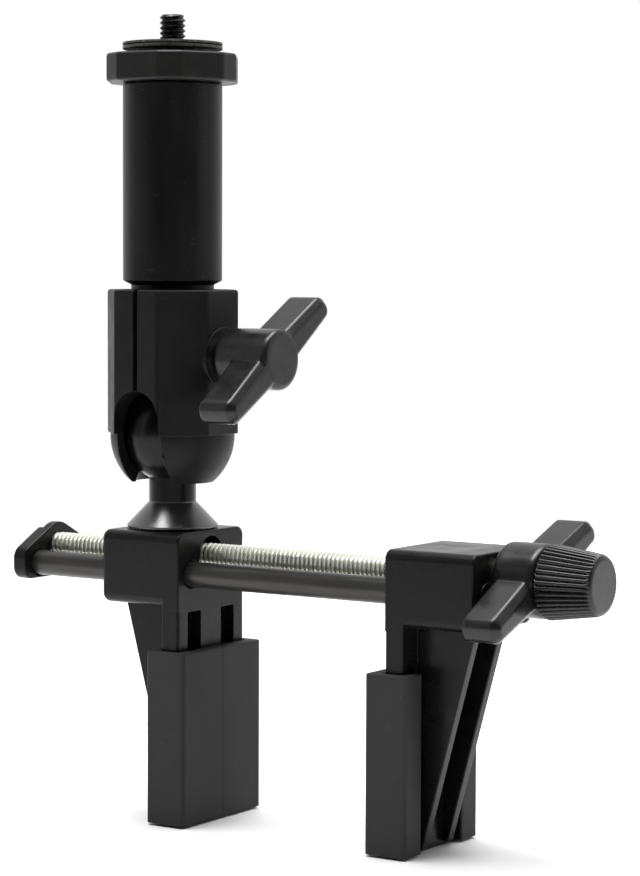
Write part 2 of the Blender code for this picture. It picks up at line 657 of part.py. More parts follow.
def socket_halves():
    reach = SOCKET_ACROSS
    for name, side in (("socket_half_left", -1), ("socket_half_right", 1)):
        half = socket_body(name)
        if side > 0:
            flat = POST_X + SOCKET_ACROSS / 2
            join(half, rod(BOSS_RADIUS, flat - OVER, flat + BOSS_PROUD, on_bolt(), "X", 40))
        cut(half, socket_hollow(), spigot_hole(), tilt_slot())
        hole = BOLT_RADIUS + GAP
        cut(half, turned([(0, -reach), (hole, -reach), (hole, -SPRING_END),
                          (SPRING_POCKET, -SPRING_END), (SPRING_POCKET, SPRING_END),
                          (hole, SPRING_END), (hole, reach), (0, reach)],
                         on_bolt(POST_X), "X", 24))
        if side < 0:
            pocket = [(y, z + BOLT_HEIGHT) for y, z in polygon(6, INSERT_ACROSS + 2 * GAP)]
            flat = POST_X - SOCKET_ACROSS / 2
            cut(half, prism(pocket, flat - OVER, flat + BOLT_HEAD_HIGH + GAP, "X"))
        split = POST_X + side * SPLIT / 2
        ends = sorted((split, POST_X - side * reach))
        cut(half, box((ends[0], -reach, SOCKET_LOW - 5 * MM), (ends[1], reach, SOCKET_TOP + 5 * MM)))


def clamp_bolt():
    head_low = POST_X - SOCKET_ACROSS / 2 + BOLT_HEAD_LOW
    head_high = POST_X - SOCKET_ACROSS / 2 + BOLT_HEAD_HIGH
    tip = CLAMP_BORE_END - GAP
    hexagon = [(y, z + BOLT_HEIGHT) for y, z in polygon(6, INSERT_ACROSS)]
    bolt = to_object("clamp_bolt", prism(hexagon, head_low, head_high, "X"), "zinc_steel",
                     on_bolt())
    join(bolt, rod(BOLT_RADIUS, head_high - OVER, tip, on_bolt()))
    low = POST_X + SOCKET_ACROSS / 2 + BOSS_PROUD + GAP
    high = CLAMP_HUB_LOW - GAP
    ring = [(BOLT_RADIUS + GAP, low), (WASHER_RADIUS, low), (WASHER_RADIUS, high),
            (BOLT_RADIUS + GAP, high)]
    to_object("clamp_washer", turned(ring, on_bolt(), "X", 28), "zinc_steel", on_bolt())


def spreader_spring():
    """Open coil round the bolt, between the socket halves."""
    turns = 4.0
    per_turn = 14
    mean = 3.1 * MM
    length = 5.8 * MM
    curve = bpy.data.curves.new("spreader_spring", "CURVE")
    curve.dimensions = "3D"
    curve.bevel_depth = 0.35 * MM
    curve.bevel_resolution = 1
    curve.use_fill_caps = True
    spline = curve.splines.new("POLY")
    count = int(turns * per_turn) + 1
    spline.points.add(count - 1)
    for i, point in enumerate(spline.points):
        angle = 2 * math.pi * i / per_turn
        x = -length / 2 + length * i / (count - 1)
        point.co = (x, mean * math.cos(angle), mean * math.sin(angle), 1.0)
    spring = bpy.data.objects.new("spreader_spring", curve)
    spring.location = on_bolt(POST_X)
    bpy.context.scene.collection.objects.link(spring)
    curve.materials.append(material("zinc_steel"))


# Post ---------------------------------------------------------------------------------------
def post_tube():
    profile = [(0, SPIGOT_LOW), (SPIGOT_RADIUS, SPIGOT_LOW), (SPIGOT_RADIUS, GROOVE_LOW),
               (GROOVE_RADIUS, GROOVE_LOW), (GROOVE_RADIUS, GROOVE_HIGH),
               (SPIGOT_RADIUS, GROOVE_HIGH), (SPIGOT_RADIUS, TUBE_LOW - 1.0 * MM),
               (TUBE_RADIUS, TUBE_LOW), (TUBE_RADIUS, TUBE_HIGH - 0.3 * MM),
               (TUBE_RADIUS - 0.3 * MM, TUBE_HIGH), (TUBE_BORE, TUBE_HIGH),
               (TUBE_BORE, TUBE_LOW + 3.0 * MM), (0, TUBE_LOW + 3.0 * MM)]
    to_object("post_tube", turned(profile, (POST_X, 0, 0), "Z", 48), "post_aluminium",
              (POST_X, 0, TUBE_LOW))


def post_head():
    plug = TUBE_BORE - GAP
    low = TUBE_HIGH - PLUG_DEPTH
    pocket = low + STUD_HEAD_POCKET
    well = STUD_HEAD_RADIUS + GAP
    bore = SCREW_RADIUS + GAP
    profile = [(well, low), (plug, low), (plug, DISC_LOW), (DISC_RADIUS, DISC_LOW),
               (DISC_RADIUS, DISC_HIGH), (bore, DISC_HIGH), (bore, pocket), (well, pocket)]
    to_object("post_head", turned(profile, (POST_X, 0, 0), "Z", 48), "dark_metal",
              (POST_X, 0, TUBE_HIGH))
    pad_low = DISC_HIGH + GAP
    ring = [(bore, pad_low), (DISC_RADIUS, pad_low), (DISC_RADIUS, DISC_PAD_HIGH),
            (bore, DISC_PAD_HIGH)]
    to_object("disc_pad", turned(ring, (POST_X, 0, 0), "Z", 48), "rubber", (POST_X, 0, DISC_HIGH))
    head_low = low + 1.0 * MM
    head_high = pocket - GAP
    edge = 0.6 * MM
    head = STUD_HEAD_RADIUS
    stud = [(0, head_low), (head, head_low), (head, head_high), (SCREW_RADIUS, head_high),
            (SCREW_RADIUS, STUD_TOP - edge), (SCREW_RADIUS - edge, STUD_TOP), (0, STUD_TOP)]
    to_object("camera_stud", turned(stud, (POST_X, 0, 0), "Z", 28), "black_steel",
              (POST_X, 0, DISC_HIGH))


def lock_ring():
    """Hexagonal ring with blunt corners, on the threaded neck of the post head."""
    outline = []
    middle = RING_ACROSS / 2
    flat_half = middle * math.tan(math.pi / 6)
    trim = RING_BLUNT / 2 / math.sin(math.pi / 3)
    for i in range(6):
        angle = RING_PHASE + math.pi / 6 + i * math.pi / 3
        turn = Matrix.Rotation(angle, 2)
        for along in (-(flat_half - trim), flat_half - trim):
            x, y = turn @ Vector((middle, along))
            outline.append((x + POST_X, y))
    shape = prism(outline, RING_LOW, RING_HIGH)
    low_rim, high_rim = rims(shape, 2)
    bmesh.ops.bevel(shape, geom=low_rim + high_rim, offset=0.6 * MM, segments=1, affect="EDGES")
    ring = to_object("lock_ring", shape, "black_plastic", (POST_X, 0, RING_LOW))
    cut(ring, rod(TUBE_BORE + 0.1 * MM, RING_LOW - OVER, RING_HIGH + OVER, (POST_X, 0, 0),
                  "Z", 40))


def build():
    for old in list(bpy.data.objects):
        bpy.data.objects.remove(old, do_unlink=True)
    fixed_jaw()
    sliding_jaw()
    pad("fixed_pad", FIXED_FACE, 1)
    pad("sliding_pad", SLIDING_FACE, -1)
    guide_rods()
    end_cap()
    end_cap_screws()
    rod_end_screws()
    lead_screw()
    thrust_washer()
    drive_nut()
    bar_tee_handle()
    spin_knob()
    ball_stud()
    socket_halves()
    clamp_bolt()
    spreader_spring()
    clamp_tee_handle()
    post_tube()
    post_head()
    lock_ring()


build()
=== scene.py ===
"""Looks of the super clamp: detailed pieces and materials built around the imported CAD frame.

Everything is in metres in the CAD's frame: +X runs along the guide rods towards the spin knob,
+Z is up, and the floor is at height 0.
"""
import math

import bmesh
import bpy
from mathutils import Matrix, Vector


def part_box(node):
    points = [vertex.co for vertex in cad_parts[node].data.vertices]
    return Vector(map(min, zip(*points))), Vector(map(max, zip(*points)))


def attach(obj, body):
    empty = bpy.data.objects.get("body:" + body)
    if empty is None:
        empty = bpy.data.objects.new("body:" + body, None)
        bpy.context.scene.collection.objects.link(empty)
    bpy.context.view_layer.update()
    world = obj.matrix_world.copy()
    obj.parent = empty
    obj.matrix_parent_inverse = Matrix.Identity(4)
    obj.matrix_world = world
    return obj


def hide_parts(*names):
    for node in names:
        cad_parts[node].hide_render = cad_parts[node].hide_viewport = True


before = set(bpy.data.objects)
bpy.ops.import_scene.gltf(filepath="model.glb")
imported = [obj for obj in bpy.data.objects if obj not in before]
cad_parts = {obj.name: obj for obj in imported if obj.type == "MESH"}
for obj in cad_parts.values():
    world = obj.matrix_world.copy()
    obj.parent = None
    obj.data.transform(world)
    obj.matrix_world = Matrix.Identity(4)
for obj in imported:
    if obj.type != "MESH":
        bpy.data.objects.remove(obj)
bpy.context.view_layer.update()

MM = 0.001
SHARP = 0.02 * MM  # radius of an edge that stays crisp
OVER = 1.0 * MM  # how far a cutter passes the surface that it cuts
X, Y, Z = range(3)


# --- Places read from the frame ---
def extent(name, axis):
    """Low and high ends of a CAD node along one axis."""
    low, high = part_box(name)
    return low[axis], high[axis]


def half_size(name, axis):
    low, high = extent(name, axis)
    return (high - low) / 2


FIXED_FACE, FIXED_OUTER = extent("fixed_jaw", X)
BLOCK_LENGTH = FIXED_OUTER - FIXED_FACE
BLOCK_HALF = extent("fixed_jaw", Y)[1]
BLOCK_TOP = extent("fixed_jaw", Z)[1]
SLIDING_FACE = extent("sliding_jaw", X)[1]
ROD_LOW, ROD_HIGH = extent("guide_rod_front", X)
ROD_RADIUS = half_size("guide_rod_front", Z)
ROD_HEIGHT = extent("guide_rod_front", Z)[1] - ROD_RADIUS
ROD_OFFSET = extent("guide_rod_rear", Y)[1] - ROD_RADIUS
SCREW_LOW, SCREW_HIGH = extent("lead_screw", X)
SCREW_RADIUS = half_size("lead_screw", Z)
SCREW_HEIGHT = extent("lead_screw", Z)[1] - SCREW_RADIUS
CAP_OUTER, CAP_INNER = extent("end_cap", X)
POST_X = sum(extent("post_tube", X)) / 2
TUBE_RADIUS = half_size("post_tube", X)
TUBE_LOW, TUBE_HIGH = extent("post_tube", Z)
SOCKET_LOW, SOCKET_TOP = extent("socket_half_left", Z)
BOLT_HEIGHT = sum(extent("clamp_washer", Z)) / 2
CLAMP_HUB_LOW, CLAMP_HUB_HIGH = extent("clamp_tee_handle", X)
BAR_HUB_LOW, BAR_HUB_HIGH = extent("bar_tee_handle", X)
KNOB_LOW, KNOB_HIGH = extent("spin_knob", X)
RING_LOW, RING_HIGH = extent("lock_ring", Z)
HEAD_LOW, HEAD_HIGH = extent("post_head", Z)
DISC_RADIUS = half_size("post_head", X)
STUD_LOW, STUD_TOP = extent("camera_stud", Z)

# --- Sizes that the boxes don't give ---
GAP = 0.3 * MM
BLOCK_HEIGHT = 18.1 * MM
BLOCK_ROUND = 2.4 * MM  # of the long edges
CLAMPING_RIM = 0.5 * MM
SLIDING_OUTER_RIM = 1.5 * MM
FIXED_OUTER_RIM = 0.5 * MM
PLATE_THICK = 5.0 * MM
SLOT_INNER = 4.3 * MM
SLOT_WIDTH = 5.4 * MM
SLOT_DEPTH = 3.0 * MM
SLOT_LOW = 6.0 * MM
STEP_DEPTH = 0.5 * MM  # a shallow step down the plate's near edge
STEP_WIDTH = 0.7 * MM
RIB_OFFSET = 5.9 * MM
RIB_THICK = 2.7 * MM
RIB_REACH = 20.6 * MM
PAD_PROUD = 3.6 * MM
PAD_DEPTH = 11.3 * MM
PAD_HALF = 16.6 * MM
PITCH = 1.27 * MM  # 20 threads per inch, on the lead screw and the camera stud
THREAD_DEPTH = 0.52 * MM
SCREW_BORE = SCREW_RADIUS + GAP
ROD_BORE = ROD_RADIUS + GAP
SMALL_SCREW_RADIUS = 1.6 * MM
SMALL_SCREW_BORE = SMALL_SCREW_RADIUS + GAP
NUT_ACROSS = 10.0 * MM
NUT_POCKET = 5.6 * MM
BOLT_RADIUS = 2.5 * MM
BOLT_BORE = BOLT_RADIUS + GAP
HEX_ACROSS = 8.0 * MM  # of the bolt's head and the handle's insert
SHANK_RADIUS = 5.0 * MM  # of the ball stud's foot and the camera stud's head
BALL_HEIGHT = 95.75 * MM
BALL_RADIUS = 12.7 * MM
NECK_RADIUS = 5.85 * MM
CONE_RADIUS = 11.3 * MM
CONE_TOP = 78.4 * MM
SOCKET_ACROSS = 31.0 * MM
BOWL_RADIUS = 15.45 * MM
BOWL_HEIGHT = 95.0 * MM
SPLIT = 1.2 * MM
SLOT_HALF = 6.5 * MM
SLOT_CENTRE = 99.9 * MM
MOUTH_RADIUS = 8.4 * MM
FLARE_RADIUS = 9.6 * MM
BOSS_RADIUS = 7.5 * MM
BOSS_PROUD = 0.2 * MM
SPRING_POCKET = 3.9 * MM
SPRING_POCKET_HALF = 3.7 * MM
SPIGOT_RADIUS = 10.3 * MM
SPIGOT_FLOOR = 117.8 * MM
GROOVE_RADIUS = 9.0 * MM  # in the post's spigot, where a rib of the socket holds it
GROOVE_LOW = 123.4 * MM
GROOVE_HIGH = 126.6 * MM
RIB_RADIUS = 9.4 * MM
TUBE_FOOT = 133.4 * MM
TUBE_BORE = 9.6 * MM
STUD_SHOULDER = HEAD_LOW + 5.0 * MM
WING_ROOT = 7.0 * MM
WING_ROOT_HALF = 4.1 * MM
WING_TIP_HALF = 3.1 * MM
WING_CHAMFER = 1.7 * MM
WING_INNER_RIM = 0.6 * MM
HUB_RIM = 1.5 * MM
CLAMP_HUB_RADIUS = 7.5 * MM
CLAMP_WING_LOW = -17.1 * MM
CLAMP_WING_REACH = 24.6 * MM
CLAMP_WING_ANGLE = math.radians(33)
BAR_HUB_RADIUS = 8.7 * MM
BAR_WING_LOW = 57.2 * MM
BAR_WING_HIGH = 66.6 * MM
BAR_WING_REACH = 25.5 * MM
BAR_WING_ANGLE = math.radians(23.4)
KNOB_BASE_RADIUS = 8.9 * MM
KNOB_END_RADIUS = 7.0 * MM
KNOB_FLUTES = 40
KNOB_FLUTE_DEPTH = 0.55 * MM
KNOB_BORE_DEPTH = 8.3 * MM

# Centres of turned pieces
ON_SCREW = (0, 0, SCREW_HEIGHT)
ON_BOLT = (0, 0, BOLT_HEIGHT)
ON_POST = (POST_X, 0, 0)
ON_RODS = [(0, side * ROD_OFFSET, ROD_HEIGHT) for side in (-1, 1)]
IN_SOCKET = (POST_X, 0, BOLT_HEIGHT)

# --- Camera ---
CAMERA_PLACE = Vector((0.36265, -0.54408, 0.13808))
CAMERA_AZIMUTH = math.radians(33.415)
CAMERA_PITCH = math.radians(3.705)
CAMERA_ROLL = math.radians(0.213)
CAMERA_LENS = 111.63
SENSOR_WIDTH = 36.0

# --- Light ---
BRIGHT_SIDE = (-0.55, 0.835, 0.0)  # away from the camera
FLOOR_RADIUS = 0.7
WORLD_DARK = 0.05
WORLD_BRIGHT = 1.0
DARK_UNTIL = -0.5  # how far a direction agrees with the bright side
BRIGHT_FROM = 0.6
OVERHEAD_STRENGTH = 3.3
OVERHEAD_SPREAD = math.radians(40)
OVERHEAD_TILT = math.radians(-10)
SOFTBOXES = (  # name, place, target, size and radiance
    ("right", (1.3, 0.55, 0.6), (0, 0, 0.1), (0.7, 1.0), 1.05),
    ("key", (-0.26, -0.255, 1.48), (-0.04, 0, 0.075), (0.5, 0.5), 14.0),
    ("strip", (-0.78, -1.04, 0.35), (-0.04, 0, 0.1), (0.14, 1.2), 1.2),
)

# --- Surfaces ---
EDGE_REACH = 0.35 * MM
EDGE_LEAN = (0.06, 0.24)  # how far the normal leans where the lighter edge tone (wear and painted edge highlight) starts and is full
SCUFF_LEVEL = (0.66, 0.78)  # the noise's values where a scuff starts and is full
COAT_ROUGHNESS = 0.14


# --- Outlines ---
def rounded(corners, radii, steps=4):
    """Round a polygon's corners, each by its own radius."""
    points = []
    count = len(corners)
    for i, (corner, radius) in enumerate(zip(corners, radii)):
        here = Vector(corner)
        back = (Vector(corners[i - 1]) - here).normalized()
        ahead = (Vector(corners[(i + 1) % count]) - here).normalized()
        half = back.angle(ahead) / 2
        centre = here + (back + ahead).normalized() * radius / math.sin(half)
        start = here + back * radius / math.tan(half) - centre
        end = here + ahead * radius / math.tan(half) - centre
        sweep = start.angle_signed(end)
        for step in range(steps + 1):
            turn = Matrix.Rotation(-sweep * step / steps, 2)
            points.append(tuple(centre + turn @ start))
    return points


def inset(corners, radii, amount):
    """Move a counter-clockwise outline's sides inwards, and keep its corners' arcs concentric."""
    shifted = []
    arcs = []
    count = len(corners)
    for i, (corner, radius) in enumerate(zip(corners, radii)):
        here = Vector(corner)
        back = (here - Vector(corners[i - 1])).normalized()
        ahead = (Vector(corners[(i + 1) % count]) - here).normalized()
        first = Vector((-back.y, back.x))
        second = Vector((-ahead.y, ahead.x))
        shifted.append(tuple(here + (first + second) * amount / (1 + first.dot(second))))
        outward = back.cross(ahead) > 0
        arcs.append(max(radius - amount, SHARP) if outward else radius + amount)
    return shifted, arcs


def polygon(sides, across, phase=0.0):
    """Regular polygon with the given size across flats; phase 0 puts a flat on +X."""
    radius = across / 2 / math.cos(math.pi / sides)
    turn = 2 * math.pi / sides
    return [(radius * math.cos(phase + turn * (i + 0.5)),
             radius * math.sin(phase + turn * (i + 0.5))) for i in range(sides)]


def moved(outline, first, second):
    return [(a + first, b + second) for a, b in outline]


def quarter(radius, steps=4):
    """(inset, height) points of a rounded rim, from its face to its side."""
    points = []
    for step in range(steps + 1):
        turn = math.pi / 2 * step / steps
        points.append((radius * (1 - math.sin(turn)), radius * (1 - math.cos(turn))))
    return points


def chamfer(size):
    """(inset, height) points of a flat chamfer with softened ends, from its face to its side."""
    soft = 0.12 * size
    return [(size + soft, 0.0), (size - soft, 0.5 * soft), (0.5 * soft, size - soft),
            (0.0, size + soft)]


# --- Solids ---
def cyclic(axis):
    """Matrix that turns local X, Y, Z so that local Z lies along the named axis."""
    if axis == "Z":
        return Matrix.Identity(4)
    if axis == "X":  # local X, Y, Z become world Y, Z, X
        return Matrix(((0, 0, 1, 0), (1, 0, 0, 0), (0, 1, 0, 0), (0, 0, 0, 1)))
    return Matrix(((0, 1, 0, 0), (0, 0, 1, 0), (1, 0, 0, 0), (0, 0, 0, 1)))


def lofted(levels, axis="Z"):
    """Skin over outlines of equal length, given as (points, height) from bottom to top."""
    bm = bmesh.new()
    rings = [[bm.verts.new((a, b, height)) for a, b in points] for points, height in levels]
    bm.faces.new(reversed(rings[0]))
    bm.faces.new(rings[-1])
    for low, high in zip(rings, rings[1:]):
        for i in range(len(low)):
            j = (i + 1) % len(low)
            bm.faces.new((low[i], low[j], high[j], high[i]))
    bm.transform(cyclic(axis))
    return bm


def slab(corners, radii, low, high, axis="Z", rims=(SHARP, SHARP), steps=4, top=quarter):
    """Extruded outline with rounded rims; rims are the radii at its low and high ends.  top is
    the shape of the high rim."""
    levels = []
    for amount, height in quarter(rims[0]):
        levels.append((rounded(*inset(corners, radii, amount), steps), low + height))
    for amount, height in reversed(top(rims[1])):
        levels.append((rounded(*inset(corners, radii, amount), steps), high - height))
    return lofted(levels, axis)


def block(low, high, radius, rim, axis="X"):
    """Box with rounded long edges (radius) and rounded ends (rim) along an axis."""
    turn = {"X": (1, 2, 0), "Y": (2, 0, 1), "Z": (0, 1, 2)}[axis]
    a, b, c = ((low[i], high[i]) for i in turn)
    corners = [(a[0], b[0]), (a[1], b[0]), (a[1], b[1]), (a[0], b[1])]
    return slab(corners, [radius] * 4, c[0], c[1], axis, (rim, rim))


def turned(profile, centre, axis="Z", segments=64):
    """Solid of revolution.  The profile is (radius, distance along the axis) from end to end,
    with radius 0 where it meets the axis; a profile that never does is closed into a ring."""
    bm = bmesh.new()
    rings = []
    for radius, along in profile:
        if radius == 0:
            rings.append([bm.verts.new((0, 0, along))])
            continue
        ring = []
        for i in range(segments):
            angle = 2 * math.pi * i / segments
            ring.append(bm.verts.new((radius * math.cos(angle), radius * math.sin(angle), along)))
        rings.append(ring)
    pairs = list(zip(rings, rings[1:]))
    if profile[0][0] and profile[-1][0]:
        pairs.append((rings[-1], rings[0]))
    for first, second in pairs:
        for i in range(segments):
            j = (i + 1) % segments
            corners = [first[i % len(first)], first[j % len(first)],
                       second[j % len(second)], second[i % len(second)]]
            bm.faces.new(list(dict.fromkeys(corners)))
    bm.transform(Matrix.Translation(centre) @ cyclic(axis))
    return bm


def softened(profile, radius, steps=3):
    """Round the corners of a turned profile; points on the axis stay."""
    closed = bool(profile[0][0] and profile[-1][0])
    count = len(profile)
    points = []
    for i, point in enumerate(profile):
        if not closed and i in (0, count - 1):
            points.append(point)
            continue
        here = Vector(point)
        back = Vector(profile[i - 1]) - here
        ahead = Vector(profile[(i + 1) % count]) - here
        room = 0.45 * min(back.length, ahead.length)
        half = back.angle(ahead) / 2
        if half > math.radians(85):
            points.append(point)
            continue
        reach = min(room, radius / math.tan(half))
        start = here + back.normalized() * reach
        end = here + ahead.normalized() * reach
        for step in range(steps + 1):
            t = step / steps
            point_on = start * (1 - t) ** 2 + here * 2 * t * (1 - t) + end * t ** 2
            points.append(tuple(point_on))
    return points


def stack(*cylinders):
    """Profile of cylinders along one axis, each given as (radius, low end, high end)."""
    points = [(radius, end) for radius, low, high in cylinders for end in (low, high)]
    return [(0, points[0][1])] + points + [(0, points[-1][1])]


def arc(radius, centre, start, end, steps):
    """(radius, height) points of an arc about a centre's height; angles from straight down."""
    points = []
    for step in range(steps + 1):
        angle = start + (end - start) * step / steps
        points.append((radius * math.sin(angle), centre - radius * math.cos(angle)))
    return points


def linked(name, data):
    obj = bpy.data.objects.new(name, data)
    bpy.context.scene.collection.objects.link(obj)
    return obj


def mesh_object(name, shape):
    bmesh.ops.recalc_face_normals(shape, faces=shape.faces)
    mesh = bpy.data.meshes.new(name)
    shape.to_mesh(mesh)
    shape.free()
    return linked(name, mesh)


def evaluated(work):
    """The object's mesh with its modifiers, as a bmesh.  The object is removed."""
    graph = bpy.context.evaluated_depsgraph_get()
    bm = bmesh.new()
    bm.from_object(work, graph)
    discard(work)
    return bm


def discard(obj):
    mesh = obj.data
    bpy.data.objects.remove(obj)
    bpy.data.meshes.remove(mesh)


def combined(base, shapes, operation):
    """Boolean of a base with shapes.  All of them are used up."""
    work = mesh_object("work", base)
    tools = [mesh_object("tool", shape) for shape in shapes]
    for tool in tools:
        step = work.modifiers.new(operation, "BOOLEAN")
        step.operation = operation
        step.object = tool
        step.solver = "EXACT"
    result = evaluated(work)
    for tool in tools:
        discard(tool)
    return result


def joined(base, *shapes):
    return combined(base, shapes, "UNION")


def cut(base, *shapes):
    return combined(base, shapes, "DIFFERENCE")


def bevelled(shape, width, segments=2, angle=50):
    """Break the sharp edges that the cuts left."""
    bmesh.ops.remove_doubles(shape, verts=shape.verts, dist=SHARP)
    bmesh.ops.dissolve_degenerate(shape, edges=shape.edges, dist=SHARP)
    work = mesh_object("work", shape)
    step = work.modifiers.new("edges", "BEVEL")
    step.width = width
    step.segments = segments
    step.limit_method = "ANGLE"
    step.angle_limit = math.radians(angle)
    step.use_clamp_overlap = False
    step.miter_outer = "MITER_ARC"
    return evaluated(work)


def melted(shape, voxel, passes):
    """Round the edges and fill the inner corners of a solid, as a moulding has them."""
    work = mesh_object("work", shape)
    cells = work.modifiers.new("cells", "REMESH")
    cells.mode = "VOXEL"
    cells.voxel_size = voxel
    relax = work.modifiers.new("relax", "SMOOTH")
    relax.factor = 0.5
    relax.iterations = passes
    return evaluated(work)


def piece(stands_for, kind, shape, look, body, smooth_angle=35):
    """Make a shown piece that stands for a CAD node, and is named after it."""
    obj = mesh_object(f"{stands_for}_{kind}", shape)
    obj.data.shade_smooth()
    obj.data.set_sharp_from_angle(angle=math.radians(smooth_angle))
    obj.data.materials.append(look)
    flats = obj.modifiers.new("flats", "WEIGHTED_NORMAL")
    flats.keep_sharp = True
    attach(obj, body)
    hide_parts(stands_for)
    return obj


# --- Materials ---
def node(tree, kind, inputs=(), **settings):
    """Add a shader node.  An input's value is a number, a colour or another node's socket."""
    made = tree.nodes.new("ShaderNode" + kind)
    for key, value in settings.items():
        setattr(made, key, value)
    for key, value in dict(inputs).items():
        if isinstance(value, bpy.types.NodeSocket):
            tree.links.new(value, made.inputs[key])
        else:
            made.inputs[key].default_value = value
    return made


def noise(tree, size, detail=3.0, stretch=(1, 1, 1)):
    """Noise with features of about the given size, longer along an axis whose stretch is large."""
    place = tree.nodes.get("place") or node(tree, "TexCoord", name="place")
    scale = node(tree, "Mapping", {"Vector": place.outputs["Object"],
                                   "Scale": [1 / s for s in stretch]})
    texture = node(tree, "TexNoise", {"Vector": scale.outputs[0], "Scale": 1 / size,
                                      "Detail": detail})
    return texture.outputs[0]


def ranged(tree, value, low, high, start=0.3, end=0.7):
    step = node(tree, "MapRange", {"Value": value, "From Min": start, "From Max": end,
                                   "To Min": low, "To Max": high})
    return step.outputs[0]


def mixed(tree, factor, first, second):
    """Mix two colours; each is a colour or a socket."""
    made = node(tree, "Mix", data_type="RGBA")
    for socket, value in zip((made.inputs[0], made.inputs[6], made.inputs[7]),
                             (factor, first, second)):
        if isinstance(value, bpy.types.NodeSocket):
            tree.links.new(value, socket)
        else:
            socket.default_value = value
    return made.outputs[2]


def grey(value, tint=(1, 1, 1)):
    return (value * tint[0], value * tint[1], value * tint[2], 1.0)


def shaded(name):
    """A new material, its node tree and its shader."""
    made = bpy.data.materials.new(name)
    made.use_nodes = True
    return made, made.node_tree, made.node_tree.nodes["Principled BSDF"]


def edges(tree):
    """How far a place's normal leans when the edges near it are rounded: 0 away from edges."""
    soft = node(tree, "Bevel", {"Radius": EDGE_REACH}, samples=4)
    plain = node(tree, "NewGeometry").outputs["Normal"]
    match = node(tree, "VectorMath", {0: soft.outputs[0], 1: plain}, operation="DOT_PRODUCT")
    return node(tree, "Math", {0: 1.0, 1: match.outputs["Value"]},
                operation="SUBTRACT").outputs[0]


def material(name, dark, light, roughness, metallic=0.0, specular=0.5, mottle=6 * MM,
             stretch=(1, 1, 1), grain=0.25 * MM, grain_depth=0.012 * MM, edge_wear_and_sheen=None,
             scuff=None, scuff_size=1.2 * MM, scuff_stretch=(1, 1, 1), coat=0.0, painted_highlight=None):
    """A moulded, painted or plated surface: two tones mottled, roughness that varies with them,
    and fine grain as relief.  edge_wear_and_sheen is (colour, strength) of a lighter tone on
    rounded edges, partly wear and partly a painted edge highlight; scuff is (colour, strength)
    of the sparse marks; painted_highlight is (colour, height) of a brighter tone below that
    height, a painted highlight."""
    made, tree, shader = shaded(name)
    slow = noise(tree, mottle, 4.0, stretch)
    fine = noise(tree, grain, 2.0, stretch)
    colour = mixed(tree, ranged(tree, slow, 0.0, 1.0), dark, light)
    # Lighter tone on rounded edges: partly wear, partly a painted highlight along the edges.
    if edge_wear_and_sheen:
        edge_wear_and_sheen_mask = ranged(tree, edges(tree), 0.0, edge_wear_and_sheen[1], *EDGE_LEAN)
        patchy = node(tree, "Math", {0: edge_wear_and_sheen_mask, 1: ranged(tree, slow, 0.35, 1.0)},
                      operation="MULTIPLY")
        colour = mixed(tree, patchy.outputs[0], colour, edge_wear_and_sheen[0])
    if scuff:
        marks = noise(tree, scuff_size, 6.0, scuff_stretch)
        marked = ranged(tree, marks, 0.0, scuff[1], *SCUFF_LEVEL)
        colour = mixed(tree, marked, colour, scuff[0])
    # Painted highlight: below the given height the colour turns to a brighter tone that stands in
    # for a highlight from the light overhead.
    if painted_highlight:
        place = tree.nodes["place"].outputs["Object"]
        height = node(tree, "SeparateXYZ", {0: place}).outputs["Z"]
        below = ranged(tree, height, 1.0, 0.0, painted_highlight[1], painted_highlight[1] + GAP)
        colour = mixed(tree, below, colour, painted_highlight[0])
    tree.links.new(colour, shader.inputs["Base Color"])
    tree.links.new(ranged(tree, slow, *roughness), shader.inputs["Roughness"])
    bump = node(tree, "Bump", {"Height": fine, "Strength": 0.6, "Distance": grain_depth})
    tree.links.new(bump.outputs[0], shader.inputs["Normal"])
    shader.inputs["Metallic"].default_value = metallic
    shader.inputs["Specular IOR Level"].default_value = specular
    shader.inputs["Coat Weight"].default_value = coat
    shader.inputs["Coat Roughness"].default_value = COAT_ROUGHNESS
    return made


def moulded_looks():
    """Plastics and rubbers."""
    looks = {}
    looks["jaw"] = material(
        "jaw_plastic", grey(0.005), grey(0.007), (0.24, 0.36), specular=0.17,
        edge_wear_and_sheen=(grey(0.06), 0.7), scuff=(grey(0.03), 0.35))
    looks["socket"] = material(
        "socket_plastic", grey(0.006), grey(0.009), (0.40, 0.52), specular=0.16,
        edge_wear_and_sheen=(grey(0.05), 0.6), scuff=(grey(0.035), 0.3))
    looks["handle"] = material(
        "handle_plastic", grey(0.007, (1, 0.98, 1.0)), grey(0.011, (1, 0.98, 1.0)),
        (0.22, 0.34), specular=0.38, grain=0.5 * MM, scuff=(grey(0.05), 0.3))
    looks["ring"] = material(
        "ring_plastic", grey(0.010, (1, 1, 0.96)), grey(0.015, (1, 1, 0.96)), (0.34, 0.48),
        specular=0.22, edge_wear_and_sheen=(grey(0.10), 0.7))
    looks["rubber"] = material(
        "pad_rubber", grey(0.022), grey(0.032, (1, 1, 1.04)), (0.62, 0.80), specular=0.25,
        mottle=9 * MM, stretch=(1, 1, 2.5), grain=0.30 * MM, grain_depth=0.03 * MM,
        edge_wear_and_sheen=(grey(0.08), 0.5), scuff=(grey(0.06), 0.4), scuff_size=2 * MM)
    looks["disc_rubber"] = material(
        "disc_rubber", grey(0.030), grey(0.20, (0.97, 1, 0.86)), (0.6, 0.9), specular=0.3,
        mottle=0.8 * MM, grain=0.4 * MM, grain_depth=0.12 * MM)
    return looks


